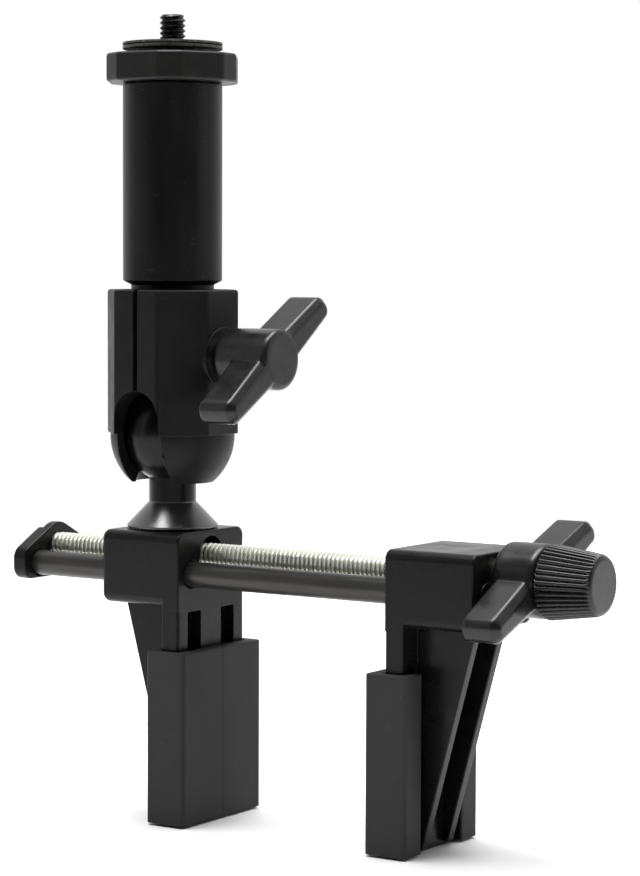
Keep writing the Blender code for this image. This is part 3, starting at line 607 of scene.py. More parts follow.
def metal_looks():
    """Painted, plated and bare metals."""
    looks = {}
    looks["rod"] = material(
        "black_steel", grey(0.035, (1, 0.97, 0.94)), grey(0.065, (1, 0.97, 0.94)), (0.28, 0.42),
        metallic=0.7, specular=0.4, mottle=2.5 * MM, stretch=(12, 1, 1), grain=0.2 * MM,
        grain_depth=0.006 * MM)
    looks["zinc"] = material(
        "zinc_steel", grey(0.90, (1, 1, 0.91)), grey(0.98, (0.97, 1, 0.88)), (0.30, 0.46),
        metallic=1.0, mottle=5 * MM, stretch=(3, 1, 1), grain=0.2 * MM, grain_depth=0.005 * MM)
    # The stud's cone, below CONE_TOP, gets a brighter tone: a painted highlight.
    looks["stud"] = material(
        "stud_metal", grey(0.006), grey(0.011), (0.26, 0.34), metallic=0.85, mottle=7 * MM,
        grain=0.2 * MM, grain_depth=0.003 * MM, coat=0.12, painted_highlight=(grey(0.13), CONE_TOP))
    looks["head"] = material(
        "head_metal", grey(0.03, (0.97, 1, 0.92)), grey(0.16, (0.97, 1, 0.88)), (0.42, 0.62),
        metallic=0.4, mottle=1.2 * MM, grain=0.3 * MM, grain_depth=0.03 * MM)
    looks["blackened"] = material(
        "blackened_steel", grey(0.018), grey(0.038, (1, 1, 0.95)), (0.22, 0.38), metallic=0.9,
        mottle=1.5 * MM, grain=0.15 * MM, grain_depth=0.01 * MM, edge_wear_and_sheen=(grey(0.25), 0.6))
    looks["brass"] = material(
        "brass", (0.50, 0.36, 0.13, 1), (0.66, 0.50, 0.22, 1), (0.25, 0.4), metallic=1.0,
        mottle=2 * MM, grain=0.2 * MM, grain_depth=0.005 * MM)
    looks["post"] = material(
        "post_aluminium", grey(0.005), grey(0.008), (0.30, 0.42), specular=0.16,
        mottle=7 * MM, stretch=(1, 1, 4), grain=0.2 * MM, grain_depth=0.006 * MM,
        scuff=(grey(0.045, (0.9, 1, 1.02)), 0.8), scuff_size=2.2 * MM,
        scuff_stretch=(1, 1, 0.25))
    return looks


# --- Jaws and pads ---
def jaw_block(face, outer, outer_rim):
    """Block with rounded long edges, and its own rounding at each end."""
    under = BLOCK_TOP - BLOCK_HEIGHT
    corners = [(-BLOCK_HALF, under), (BLOCK_HALF, under), (BLOCK_HALF, BLOCK_TOP),
               (-BLOCK_HALF, BLOCK_TOP)]
    rims = (CLAMPING_RIM, outer_rim) if face < outer else (outer_rim, CLAMPING_RIM)
    return slab(corners, [BLOCK_ROUND] * 4, min(face, outer), max(face, outer), "X", rims, 8)


def jaw_rib(face, away, side):
    """Gusset rib behind the plate, on one side."""
    under = BLOCK_TOP - BLOCK_HEIGHT
    root = PLATE_THICK - 1 * MM
    top = under + BLOCK_ROUND + 1.0 * MM
    corners = [(root, 1.0 * MM), (PLATE_THICK + 1.6 * MM, 1.0 * MM),
               (RIB_REACH, under - 1.0 * MM), (RIB_REACH, top), (root, top)]
    outline = [(z, face + away * reach) for reach, z in corners]
    if away > 0:
        outline = outline[::-1]
    middle = side * RIB_OFFSET
    return slab(outline, [0.4 * MM] * 5, middle - RIB_THICK / 2, middle + RIB_THICK / 2, "Y",
                (0.35 * MM, 0.35 * MM))


def jaw_body(face, away, outer_rim):
    """Block, plate and gusset ribs.  away is the direction from the clamping side."""
    def span(near, far):
        return sorted((face + away * near, face + away * far))

    under = BLOCK_TOP - BLOCK_HEIGHT
    low, high = span(0, PLATE_THICK)
    plate = block((low, -BLOCK_HALF, 0), (high, BLOCK_HALF, under + BLOCK_ROUND + 1.0 * MM),
                  CLAMPING_RIM, 0.3 * MM, "Z")
    body = joined(jaw_block(face, face + away * BLOCK_LENGTH, outer_rim), plate,
                  *[jaw_rib(face, away, side) for side in (-1, 1)])
    cutters = []
    low, high = span(-OVER, SLOT_DEPTH)
    for side in (-1, 1):
        ends = sorted((side * SLOT_INNER, side * (SLOT_INNER + SLOT_WIDTH)))
        cutters.append(block((low, ends[0], SLOT_LOW), (high, ends[1], under - 1.4 * MM),
                             0.3 * MM, SHARP))
    low, high = span(-OVER, STEP_DEPTH)
    cutters.append(block((low, -BLOCK_HALF - OVER, SLOT_LOW),
                         (high, -BLOCK_HALF + STEP_WIDTH, under - 1.0 * MM), 0.1 * MM, SHARP))
    return cut(body, *cutters)


def fixed_jaw(look):
    shoulder = FIXED_OUTER - 4.0 * MM
    low, high = FIXED_FACE - OVER, FIXED_OUTER + OVER
    cutters = [turned(stack((SCREW_BORE, low, high)), ON_SCREW, "X", 40)]
    for centre in ON_RODS:
        hole = stack((ROD_BORE, low, shoulder), (SMALL_SCREW_BORE, shoulder, high))
        cutters.append(turned(hole, centre, "X", 40))
    shape = bevelled(cut(jaw_body(FIXED_FACE, 1, FIXED_OUTER_RIM), *cutters), 0.2 * MM)
    piece("fixed_jaw", "moulding", shape, look, "frame")


def sliding_jaw(look):
    outer = SLIDING_FACE - BLOCK_LENGTH
    pocket = outer + NUT_POCKET
    lead_in = SLIDING_FACE - 3.0 * MM
    low, high = outer - OVER, SLIDING_FACE + OVER
    hexagon = moved(polygon(6, NUT_ACROSS + 2 * GAP, math.pi / 6), 0, SCREW_HEIGHT)
    bore = stack((SCREW_BORE, pocket - OVER, lead_in), (5.0 * MM, lead_in, high))
    foot = stack((SHANK_RADIUS + GAP, BLOCK_TOP - 1.5 * MM, BLOCK_TOP + OVER))
    cutters = [turned(bore, ON_SCREW, "X", 48), slab(hexagon, [0.3 * MM] * 6, low, pocket, "X"),
               turned(foot, ON_POST, "Z", 40)]
    cutters += [turned(stack((ROD_BORE, low, high)), centre, "X", 40) for centre in ON_RODS]
    shape = bevelled(cut(jaw_body(SLIDING_FACE, -1, SLIDING_OUTER_RIM), *cutters), 0.2 * MM)
    piece("sliding_jaw", "moulding", shape, look, "sliding_carriage")


def pad(stands_for, body, face, away, look):
    """Rubber boot: a front wall, two sides and two lips behind the plate, open at the top."""
    low, high = extent(stands_for, Z)
    wall = PAD_HALF - BLOCK_HALF - GAP
    back = PAD_DEPTH - PAD_PROUD
    lip_front = PLATE_THICK + GAP
    crease = 0.12 * MM
    half = [(PAD_PROUD, PAD_HALF), (-back, PAD_HALF), (-back, 9.0 * MM),
            (-lip_front, 10.2 * MM), (-lip_front, PAD_HALF - wall), (GAP, PAD_HALF - wall)]
    radii = [1.1 * MM, 1.0 * MM, 0.5 * MM, 0.3 * MM, 0.3 * MM, 0.3 * MM]
    corners = half + [(x, -y) for x, y in reversed(half)]
    radii = radii + radii[::-1]
    corners += [(PAD_PROUD, -2 * crease), (PAD_PROUD - crease, 0), (PAD_PROUD, 2 * crease)]
    radii += [crease / 2] * 3
    outline = [(face - away * x, y) for x, y in corners]
    if away > 0:  # keeps the outline counter-clockwise
        outline = outline[::-1]
        radii = radii[::-1]
    shape = slab(outline, radii, low, high, "Z", (0.25 * MM, 0.45 * MM), 3)
    boot = piece(stands_for, "boot", shape, look, body)


# --- Bar ---
def guide_rods(look):
    hole = SMALL_SCREW_BORE
    depth = 8.0 * MM
    edge = 0.5 * MM
    profile = [(0, ROD_LOW + depth), (hole, ROD_LOW + depth), (hole, ROD_LOW),
               (ROD_RADIUS - edge, ROD_LOW), (ROD_RADIUS, ROD_LOW + edge),
               (ROD_RADIUS, ROD_HIGH - edge), (ROD_RADIUS - edge, ROD_HIGH),
               (hole, ROD_HIGH), (hole, ROD_HIGH - depth), (0, ROD_HIGH - depth)]
    for name, centre in zip(("guide_rod_front", "guide_rod_rear"), ON_RODS):
        piece(name, "bar", turned(softened(profile, 0.3 * MM), centre, "X", 64), look, "frame")


def end_cap(look):
    corners = [(0, 72.0 * MM), (-BLOCK_HALF, 64.8 * MM), (-BLOCK_HALF, 57.5 * MM),
               (BLOCK_HALF, 57.5 * MM), (BLOCK_HALF, 64.8 * MM)]
    radii = [6.0 * MM, 3.5 * MM, 3.0 * MM, 3.0 * MM, 3.5 * MM]
    shape = slab(corners, radii, CAP_OUTER, CAP_INNER, "X", (0.9 * MM, 0.4 * MM), 8)
    recess = CAP_OUTER + 1.9 * MM
    rod_seat = ROD_LOW - GAP
    hole = SMALL_SCREW_BORE
    sink = 1.2 * MM
    bore = stack((6.0 * MM, CAP_OUTER - OVER, recess), (SCREW_BORE, recess, CAP_INNER + OVER))
    cutters = [turned(bore, ON_SCREW, "X", 48)]
    for centre in ON_RODS:
        cutters.append(turned([(0, CAP_OUTER - OVER), (hole + sink + OVER, CAP_OUTER - OVER),
                               (hole + sink, CAP_OUTER), (hole, CAP_OUTER + sink),
                               (hole, rod_seat), (ROD_BORE, rod_seat),
                               (ROD_BORE, CAP_INNER + OVER), (0, CAP_INNER + OVER)],
                              centre, "X", 40))
    piece("end_cap", "moulding", bevelled(cut(shape, *cutters), 0.2 * MM), look, "frame")


def cross_recess(centre, face, inwards):
    """Four-armed driver recess cutter in a screw's face; inwards is +1 or -1 along X."""
    ends = sorted((face - inwards * OVER, face + inwards * 0.6 * MM))
    arm = 1.5 * MM
    half = 0.32 * MM
    arms = []
    for wide, tall in ((arm, half), (half, arm)):
        arms.append(block((ends[0], centre[Y] - wide, centre[Z] - tall),
                          (ends[1], centre[Y] + wide, centre[Z] + tall), 0.1 * MM, SHARP))
    return arms


def small_screws(look):
    """Countersunk screws in the end cap and pan-headed screws behind the fixed jaw."""
    radius = SMALL_SCREW_RADIUS
    head = radius + 0.9 * MM
    wide = 3.6 * MM
    point = 0.4 * MM
    face, end = extent("end_cap_screw_front", X)
    sunk = [(0, face), (head - 0.2 * MM, face), (head, face + 0.1 * MM),
            (radius, face + 1.0 * MM), (radius, end - point), (radius - point, end), (0, end)]
    tip, top = extent("rod_end_screw_front", X)
    under = top - 0.7 * MM
    pan = [(0, top), (wide - 1.6 * MM, top), (wide - 0.7 * MM, top - 0.15 * MM),
           (wide, top - 0.4 * MM), (wide, under), (radius, under), (radius, tip), (0, tip)]
    for place, centre in zip(("front", "rear"), ON_RODS):
        shape = cut(turned(sunk, centre, "X", 40), *cross_recess(centre, face, 1))
        piece(f"end_cap_screw_{place}", "head", shape, look, "frame")
        shape = cut(turned(softened(pan, 0.2 * MM), centre, "X", 40),
                    *cross_recess(centre, top, -1))
        piece(f"rod_end_screw_{place}", "head", shape, look, "frame")


def thread(radius, low, high, centre, axis, limit, segments=36):
    """Right-hand screw thread, from low to high along its axis.  limit gives the largest
    radius allowed at a place along the axis, for chamfers and plain shanks."""
    crest = 0.16 * PITCH
    root = 0.14 * PITCH
    flank = (PITCH - crest - root) / 2
    marks = [(0.0, radius), (crest, radius), (crest + flank, radius - THREAD_DEPTH),
             (crest + flank + root, radius - THREAD_DEPTH)]
    turns = int((high - low) / PITCH) + 3
    bm = bmesh.new()
    rows = []
    for i in range(turns * segments + 1):
        angle = 2 * math.pi * i / segments
        start = low - 1.5 * PITCH + PITCH * i / segments
        row = []
        for offset, size in marks:
            along = start + offset
            size = min(size, limit(along))
            row.append(bm.verts.new((size * math.cos(angle), size * math.sin(angle), along)))
        rows.append(row)
    for first, second in zip(rows, rows[1:]):
        for a in range(len(marks) - 1):
            bm.faces.new((first[a], second[a], second[a + 1], first[a + 1]))
    last = len(marks) - 1
    for first, second, above, after in zip(rows, rows[1:], rows[segments:],
                                           rows[segments + 1:]):
        bm.faces.new((first[last], second[last], after[0], above[0]))
    for place, side in ((low, -1), (high, 1)):
        geometry = bm.verts[:] + bm.edges[:] + bm.faces[:]
        bmesh.ops.bisect_plane(bm, geom=geometry, plane_co=(0, 0, place),
                               plane_no=(0, 0, side), clear_outer=True)
    open_edges = [edge for edge in bm.edges if edge.is_boundary]
    bmesh.ops.holes_fill(bm, edges=open_edges, sides=0)
    bm.transform(Matrix.Translation(centre) @ cyclic(axis))
    return bm


def lead_screw(look):
    end_chamfer = 0.5 * MM
    shank = FIXED_OUTER - 2 * MM

    def limit(along):
        ends = min(along - SCREW_LOW, SCREW_HIGH - along)
        plain = SCREW_RADIUS - THREAD_DEPTH if along > shank else SCREW_RADIUS
        return min(plain, SCREW_RADIUS - end_chamfer + max(ends, 0))

    shape = thread(SCREW_RADIUS, SCREW_LOW, SCREW_HIGH, ON_SCREW, "X", limit)
    piece("lead_screw", "thread", shape, look, "screw_drive", 28)


def washers(look):
    for name, body, centre, inner in (("thrust_washer", "screw_drive", ON_SCREW, SCREW_BORE),
                                      ("clamp_washer", "socket", ON_BOLT, BOLT_BORE)):
        low, high = extent(name, X)
        outer = half_size(name, Z)
        ring = [(inner, low), (outer, low), (outer, high), (inner, high)]
        shape = turned(softened(ring, 0.15 * MM), centre, "X", 56)
        piece(name, "ring", shape, look, body)


def retaining_clip(look):
    """Spring clip in the lead screw's end groove, open on one side."""
    low, high = extent("screw_clip", X)
    outer = 5.2 * MM
    inner = 2.75 * MM
    steps = 40
    opening = math.radians(35)
    points = []
    for radius, sign in ((outer, 1), (inner, -1)):
        for step in range(steps + 1):
            part = step / steps if sign > 0 else 1 - step / steps
            angle = math.pi / 2 + opening + part * (2 * math.pi - 2 * opening)
            points.append((radius * math.cos(angle), radius * math.sin(angle) + SCREW_HEIGHT))
    shape = lofted([(points, low), (points, high)], "X")
    piece("screw_clip", "ring", bevelled(shape, 0.08 * MM, 1), look, "screw_drive")


def hexagon_nut(stands_for, body, across, centre, phase, bore, look):
    """Hexagon with chamfered corners and a bore, where its CAD node lies."""
    low, high = extent(stands_for, X)
    corners = moved(polygon(6, across, phase), 0, centre[Z])
    shape = slab(corners, [0.15 * MM] * 6, low, high, "X")
    flat = across / 2 - 0.2 * MM
    tall = across / 2 + 1.2 * MM
    crown = [(0, low), (flat, low), (tall, low + 0.9 * MM), (tall, high - 0.9 * MM),
             (flat, high), (0, high)]
    shape = combined(shape, [turned(crown, centre, "X", 64)], "INTERSECT")
    lead_in = 0.5 * MM
    hole = [(0, low - OVER), (bore + lead_in, low - OVER), (bore + lead_in, low),
            (bore, low + lead_in), (bore, high + OVER), (0, high + OVER)]
    shape = cut(shape, turned(hole, centre, "X", 48))
    piece(stands_for, "hex", shape, look, body)


# --- Handles and knob ---
def wing_outline(reach, angle, centre_z):
    """Corners and radii of two opposite wings, as one long outline across the handle's axis."""
    corners = [(WING_ROOT, -WING_ROOT_HALF), (reach, -WING_TIP_HALF), (reach, WING_TIP_HALF),
               (WING_ROOT, WING_ROOT_HALF)]
    corners += [(-a, -b) for a, b in corners]
    tip = WING_TIP_HALF * 0.96
    radii = [1.0 * MM, tip, tip, 1.0 * MM] * 2
    cos, sin = math.cos(angle), math.sin(angle)
    turn = [(a * cos - b * sin, a * sin + b * cos + centre_z) for a, b in corners]
    return turn, radii


def tee_handle(centre, radius, hub, wings, reach, angle):
    """Round hub with two wings, chamfered on the outer side and tighter on the inner side."""
    body = turned(softened(stack((radius, *hub)), HUB_RIM, 4), centre, "X", 72)
    corners, radii = wing_outline(reach, angle, centre[Z])
    blade = slab(corners, radii, *wings, "X", (WING_INNER_RIM, WING_CHAMFER), 8, chamfer)
    return melted(joined(body, blade), 0.26 * MM, 3)


def clamp_handle(look):
    low, high = CLAMP_HUB_LOW, CLAMP_HUB_HIGH
    hexagon = moved(polygon(6, HEX_ACROSS + 2 * GAP), 0, BOLT_HEIGHT)
    bore = turned(stack((BOLT_BORE, low - OVER, high - 3.3 * MM)), ON_BOLT, "X", 32)
    pocket = slab(hexagon, [0.2 * MM] * 6, low - OVER, low + 4.6 * MM, "X")
    shape = tee_handle(ON_BOLT, CLAMP_HUB_RADIUS, (low, high),
                       (CLAMP_WING_LOW, high - 0.05 * MM), CLAMP_WING_REACH, CLAMP_WING_ANGLE)
    piece("clamp_tee_handle", "moulding", cut(shape, bore, pocket), look, "clamp_handle")


def bar_handle(look):
    low, high = BAR_HUB_LOW, BAR_HUB_HIGH
    bore = turned(stack((SCREW_BORE, low - OVER, high + OVER)), ON_SCREW, "X", 40)
    shape = tee_handle(ON_SCREW, BAR_HUB_RADIUS, (low, high), (BAR_WING_LOW, BAR_WING_HIGH),
                       BAR_WING_REACH, BAR_WING_ANGLE)
    piece("bar_tee_handle", "moulding", cut(shape, bore), look, "screw_drive")


def knob_level(along, off, carve):
    """Outline of the knob at a distance from its base.  off is taken from the radius, and carve
    is the share of the flutes' depth."""
    steps = KNOB_FLUTES * 8
    share = along / (KNOB_HIGH - KNOB_LOW)
    size = KNOB_BASE_RADIUS + (KNOB_END_RADIUS - KNOB_BASE_RADIUS) * share - off
    points = []
    for i in range(steps):
        angle = 2 * math.pi * i / steps
        wave = abs(math.sin(KNOB_FLUTES * angle / 2)) ** 0.8
        radius = size - KNOB_FLUTE_DEPTH * carve * (1 - wave)
        points.append((radius * math.cos(angle), radius * math.sin(angle) + SCREW_HEIGHT))
    return points, KNOB_LOW + along


def spin_knob(look):
    """Tapered finger knob with rounded ridges, a plain rim and a flat end face."""
    length = (KNOB_HIGH - KNOB_LOW) / MM
    stops = [(0.0, 0.35, 0.0), (0.3, 0.0, 1.0), (4.0, 0.0, 1.0), (8.0, 0.0, 1.0),
             (length - 1.6, 0.0, 1.0), (length - 1.0, 0.05, 0.6), (length - 0.6, 0.2, 0.15),
             (length - 0.3, 0.45, 0.0), (length - 0.1, 0.8, 0.0), (length, 1.3, 0.0)]
    body = lofted([knob_level(along * MM, off * MM, carve) for along, off, carve in stops], "X")
    hole = stack((SCREW_BORE, KNOB_LOW - OVER, KNOB_LOW + KNOB_BORE_DEPTH))
    piece("spin_knob", "moulding", cut(body, turned(hole, ON_SCREW, "X", 40)), look, "screw_drive",
          60)


# --- Ball joint ---
def ball_stud(look):
    foot = extent("ball_stud", Z)[0]
    base = BLOCK_TOP + GAP
    lower = [(0, foot), (SHANK_RADIUS, foot), (SHANK_RADIUS, base), (CONE_RADIUS, base),
             (CONE_RADIUS, base + 0.6 * MM), (NECK_RADIUS, CONE_TOP)]
    start = math.asin(NECK_RADIUS / BALL_RADIUS)
    ball = arc(BALL_RADIUS, BALL_HEIGHT, start, math.radians(155), 40)
    profile = softened(lower + [ball[0]], 0.35 * MM)[:-1] + ball + [(0, ball[-1][1])]
    piece("ball_stud", "turning", turned(profile, ON_POST, "Z", 96), look, "ball",
          40)


def socket_cutters():
    """The ball's seat, the flared mouth, the post's bore and the tilt slot."""
    seat = BALL_RADIUS + GAP
    start = math.asin(MOUTH_RADIUS / seat)
    low = SOCKET_LOW - OVER
    hollow = [(0, low), (FLARE_RADIUS, low)]
    hollow += arc(seat, BALL_HEIGHT, start, math.radians(170), 28) + [(0, BALL_HEIGHT + seat)]
    wide = SPIGOT_RADIUS + GAP
    rib_low, rib_high = GROOVE_LOW + GAP, GROOVE_HIGH - GAP
    bore = stack((wide, SPIGOT_FLOOR, rib_low), (RIB_RADIUS, rib_low, rib_high),
                 (wide, rib_high, SOCKET_TOP + OVER))
    steps = 24
    outline = [(-SLOT_HALF, low - OVER), (SLOT_HALF, low - OVER)]
    for step in range(steps + 1):
        turn = math.pi * step / steps
        outline.append((SLOT_HALF * math.cos(turn), SLOT_CENTRE + SLOT_HALF * math.sin(turn)))
    slot = [(z, x + POST_X) for x, z in outline]
    return [turned(hollow, ON_POST, "Z", 64), turned(bore, ON_POST, "Z", 64),
            lofted([(slot, -SOCKET_ACROSS), (slot, 0)], "Y")]


def socket_body(side):
    """Octagon over a bowl, with a boss on the handle's side."""
    octagon = moved(polygon(8, SOCKET_ACROSS), POST_X, 0)
    body = slab(octagon, [1.5 * MM] * 8, BALL_HEIGHT - 0.2 * MM, SOCKET_TOP, "Z",
                (0.3 * MM, 0.8 * MM))
    start = math.acos((BOWL_HEIGHT - SOCKET_LOW) / BOWL_RADIUS)
    bowl = [(0, SOCKET_LOW)] + arc(BOWL_RADIUS, BOWL_HEIGHT, start, math.pi / 2, 20)
    bowl += [(BOWL_RADIUS - GAP, BALL_HEIGHT + MM), (0, BALL_HEIGHT + MM)]
    shapes = [turned(bowl, ON_POST, "Z", 96)]
    if side > 0:
        flat = SOCKET_ACROSS / 2
        boss = softened(stack((BOSS_RADIUS, flat - MM, flat + BOSS_PROUD)), BOSS_PROUD)
        shapes.append(turned(boss, IN_SOCKET, "X", 64))
    return joined(body, *shapes)


def socket_half(stands_for, side, look):
    """The left half (side -1) takes the bolt's head, and the right half carries the boss."""
    reach = SOCKET_ACROSS
    pocket = SPRING_POCKET_HALF
    bolt = stack((BOLT_BORE, -reach, -pocket), (SPRING_POCKET, -pocket, pocket),
                 (BOLT_BORE, pocket, reach))
    cutters = socket_cutters() + [turned(bolt, IN_SOCKET, "X", 40)]
    if side < 0:
        face = POST_X - SOCKET_ACROSS / 2
        hexagon = moved(polygon(6, HEX_ACROSS + 2 * GAP), 0, BOLT_HEIGHT)
        cutters.append(slab(hexagon, [0.2 * MM] * 6, face - OVER, face + 4.1 * MM, "X"))
    low, high = sorted((POST_X + side * SPLIT / 2, POST_X - side * reach))
    cutters.append(block((low, -reach, SOCKET_LOW - 5 * OVER),
                         (high, reach, SOCKET_TOP + 5 * OVER), SHARP, SHARP))
    shape = bevelled(cut(socket_body(side), *cutters), 0.25 * MM, 2, 45)
    piece(stands_for, "moulding", shape, look, "socket", 40)


def clamp_bolt(look):
    low, high = extent("clamp_bolt", X)
    head_high = POST_X - SOCKET_ACROSS / 2 + 3.8 * MM
    corners = moved(polygon(6, HEX_ACROSS), 0, BOLT_HEIGHT)
    head = slab(corners, [0.15 * MM] * 6, low, head_high, "X")
    crown = [(0, low), (3.7 * MM, low), (5.0 * MM, low + 0.7 * MM), (5.0 * MM, head_high),
             (0, head_high)]
    head = combined(head, [turned(crown, ON_BOLT, "X", 64)], "INTERSECT")
    point = 0.4 * MM
    shank = [(0, head_high - MM), (BOLT_RADIUS, head_high - MM), (BOLT_RADIUS, high - point),
             (BOLT_RADIUS - point, high), (0, high)]
    shape = joined(head, turned(shank, ON_BOLT, "X", 40))
    piece("clamp_bolt", "hex", shape, look, "socket")


# --- Post ---
def post_tube(look):
    floor_height = TUBE_FOOT + 3.0 * MM
    profile = [(0, TUBE_LOW), (SPIGOT_RADIUS, TUBE_LOW), (SPIGOT_RADIUS, GROOVE_LOW),
               (GROOVE_RADIUS, GROOVE_LOW), (GROOVE_RADIUS, GROOVE_HIGH),
               (SPIGOT_RADIUS, GROOVE_HIGH), (SPIGOT_RADIUS, TUBE_FOOT - 1.0 * MM),
               (TUBE_RADIUS, TUBE_FOOT), (TUBE_RADIUS, TUBE_HIGH), (TUBE_BORE, TUBE_HIGH),
               (TUBE_BORE, floor_height), (0, floor_height)]
    shape = turned(softened(profile, 0.35 * MM), ON_POST, "Z", 128)
    piece("post_tube", "turning", shape, look, "post")


def post_head(look):
    """Plug, neck and disc, hollow for the camera stud and its head."""
    plug = TUBE_BORE - GAP
    wide = SHANK_RADIUS + GAP
    pocket = STUD_SHOULDER + GAP
    under = HEAD_HIGH - 0.8 * MM
    profile = [(wide, HEAD_LOW), (plug, HEAD_LOW), (plug, under), (DISC_RADIUS, under),
               (DISC_RADIUS, HEAD_HIGH), (SCREW_BORE, HEAD_HIGH), (SCREW_BORE, pocket),
               (wide, pocket)]
    shape = turned(softened(profile, 0.15 * MM), ON_POST, "Z", 128)
    piece("post_head", "turning", shape, look, "post")


def disc_pad(look):
    low, high = extent("disc_pad", Z)
    ring = [(SCREW_BORE, low), (DISC_RADIUS, low), (DISC_RADIUS, high), (SCREW_BORE, high)]
    shape = turned(softened(ring, 0.12 * MM), ON_POST, "Z", 128)
    disc_piece = piece("disc_pad", "ring", shape, look, "post")


def camera_stud(look):
    thread_low = extent("disc_pad", Z)[1] + GAP
    end_chamfer = 0.55 * MM

    def limit(along):
        if along < thread_low:
            return SCREW_RADIUS
        return SCREW_RADIUS - end_chamfer + max(STUD_TOP - along, 0)

    shape = thread(SCREW_RADIUS, STUD_SHOULDER - 0.5 * MM, STUD_TOP, ON_POST, "Z", limit, 48)
    head = softened(stack((SHANK_RADIUS, STUD_LOW, STUD_SHOULDER)), 0.3 * MM)
    shape = joined(shape, turned(head, ON_POST, "Z", 64))
    piece("camera_stud", "thread", shape, look, "post", 28)


def lock_ring(look):
    """Hexagonal ring with blunt corners, on the threaded neck of the post head."""
    across = 31.9 * MM
    blunt = 5.75 * MM
    phase = math.radians(3.4)
    middle = across / 2
    flat_half = middle * math.tan(math.pi / 6)
    trim = blunt / 2 / math.sin(math.pi / 3)
    corners = []
    for i in range(6):
        turn = Matrix.Rotation(phase + math.pi / 6 + i * math.pi / 3, 2)
        for along in (-(flat_half - trim), flat_half - trim):
            x, y = turn @ Vector((middle, along))
            corners.append((x + POST_X, y))
    shape = slab(corners, [1.6 * MM] * 12, RING_LOW, RING_HIGH, "Z", (0.7 * MM, 0.9 * MM))
    hole = 9.7 * MM
    wide = hole + 1.0 * MM
    lead_in = 0.8 * MM
    bore = [(0, RING_LOW - OVER), (wide, RING_LOW - OVER), (wide, RING_LOW),
            (hole, RING_LOW + lead_in), (hole, RING_HIGH - lead_in), (wide, RING_HIGH),
            (wide, RING_HIGH + OVER), (0, RING_HIGH + OVER)]
    shape = cut(shape, turned(bore, ON_POST, "Z", 96))
    piece("lock_ring", "moulding", shape, look, "ring")


# --- Stage ---
def floor():
    made, tree, shader = shaded("pale_floor")
    speckle = ranged(tree, noise(tree, 20 * MM), 0.55, 0.65)
    tree.links.new(speckle, shader.inputs["Roughness"])
    shader.inputs["Base Color"].default_value = (0.94, 0.94, 0.94, 1)
    shader.inputs["Specular IOR Level"].default_value = 0.1
    bm = bmesh.new()
    bmesh.ops.create_circle(bm, cap_ends=True, segments=64, radius=FLOOR_RADIUS)
    mesh = bpy.data.meshes.new("floor")
    bm.to_mesh(mesh)
    bm.free()
    mesh.materials.append(made)
    obj = linked("floor", mesh)


def softbox(name, place, target, size, radiance):
    """Rectangular light that faces a point.  radiance is what a mirror in front of it shows."""
    light = bpy.data.lights.new(name, "AREA")
    light.shape = "RECTANGLE"
    light.size, light.size_y = size
    light.energy = radiance * math.pi * size[0] * size[1]
    lamp = linked(name, light)
    lamp.location = place
    direction = Vector(target) - Vector(place)
    lamp.rotation_euler = direction.to_track_quat("-Z", "Y").to_euler()
    lamp.visible_camera = False


def surroundings():
    """White where the camera looks; for the object, bright behind it and dark in front."""
    world = bpy.data.worlds.new("studio")
    world.use_nodes = True
    tree = world.node_tree
    place = node(tree, "TexCoord")
    facing = node(tree, "VectorMath", {0: place.outputs["Generated"], 1: BRIGHT_SIDE},
                  operation="DOT_PRODUCT")
    level = ranged(tree, facing.outputs["Value"], WORLD_DARK, WORLD_BRIGHT,
                   DARK_UNTIL, BRIGHT_FROM)
    path = node(tree, "LightPath")
    strength = node(tree, "Mix", {0: path.outputs["Is Camera Ray"], 2: level, 3: 1.0})
    tree.links.new(strength.outputs[0], tree.nodes["Background"].inputs["Strength"])
    tree.nodes["Background"].inputs["Color"].default_value = (1, 1, 1, 1)
    bpy.context.scene.world = world


def overhead():
    """Wide, soft light from above."""
    light = bpy.data.lights.new("overhead", "SUN")
    light.energy = OVERHEAD_STRENGTH
    light.angle = OVERHEAD_SPREAD
    linked("overhead", light).rotation_euler = (OVERHEAD_TILT, 0, 0)


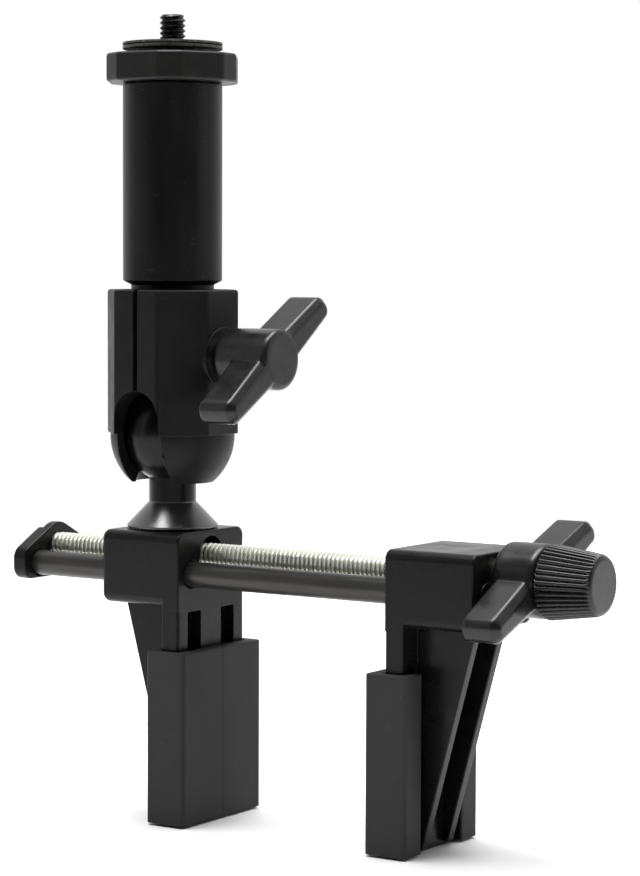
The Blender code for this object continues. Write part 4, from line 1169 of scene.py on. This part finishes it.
def studio():
    surroundings()
    bpy.context.scene.view_settings.view_transform = "Standard"
    overhead()
    for light in SOFTBOXES:
        softbox(*light)


def camera():
    data = bpy.data.cameras.new("camera")
    data.lens = CAMERA_LENS
    data.sensor_width = SENSOR_WIDTH
    data.clip_start = 0.01
    data.clip_end = 100.0
    obj = linked("camera", data)
    obj.matrix_world = (Matrix.Translation(CAMERA_PLACE) @ Matrix.Rotation(CAMERA_AZIMUTH, 4, "Z")
                        @ Matrix.Rotation(math.pi / 2 - CAMERA_PITCH, 4, "X")
                        @ Matrix.Rotation(CAMERA_ROLL, 4, "Z"))
    bpy.context.scene.camera = obj


def repaint(look, *names):
    """Give carried-over CAD nodes a finished material."""
    for name in names:
        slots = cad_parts[name].data.materials
        slots.clear()
        slots.append(look)


def build():
    camera()
    studio()
    floor()
    looks = {**moulded_looks(), **metal_looks()}
    fixed_jaw(looks["jaw"])
    sliding_jaw(looks["jaw"])
    pad("fixed_pad", "frame", FIXED_FACE, 1, looks["rubber"])
    pad("sliding_pad", "sliding_carriage", SLIDING_FACE, -1, looks["rubber"])
    guide_rods(looks["rod"])
    end_cap(looks["jaw"])
    small_screws(looks["blackened"])
    lead_screw(looks["zinc"])
    washers(looks["zinc"])
    retaining_clip(looks["blackened"])
    hexagon_nut("drive_nut", "sliding_carriage", NUT_ACROSS, ON_SCREW, math.pi / 6, SCREW_BORE,
                looks["brass"])
    hexagon_nut("handle_insert", "clamp_handle", HEX_ACROSS, ON_BOLT, 0.0, BOLT_BORE,
                looks["brass"])
    clamp_handle(looks["handle"])
    bar_handle(looks["handle"])
    spin_knob(looks["handle"])
    ball_stud(looks["stud"])
    socket_half("socket_half_left", -1, looks["socket"])
    socket_half("socket_half_right", 1, looks["socket"])
    clamp_bolt(looks["zinc"])
    post_tube(looks["post"])
    post_head(looks["head"])
    disc_pad(looks["disc_rubber"])
    camera_stud(looks["blackened"])
    lock_ring(looks["ring"])
    repaint(looks["zinc"], "spreader_spring")


build()
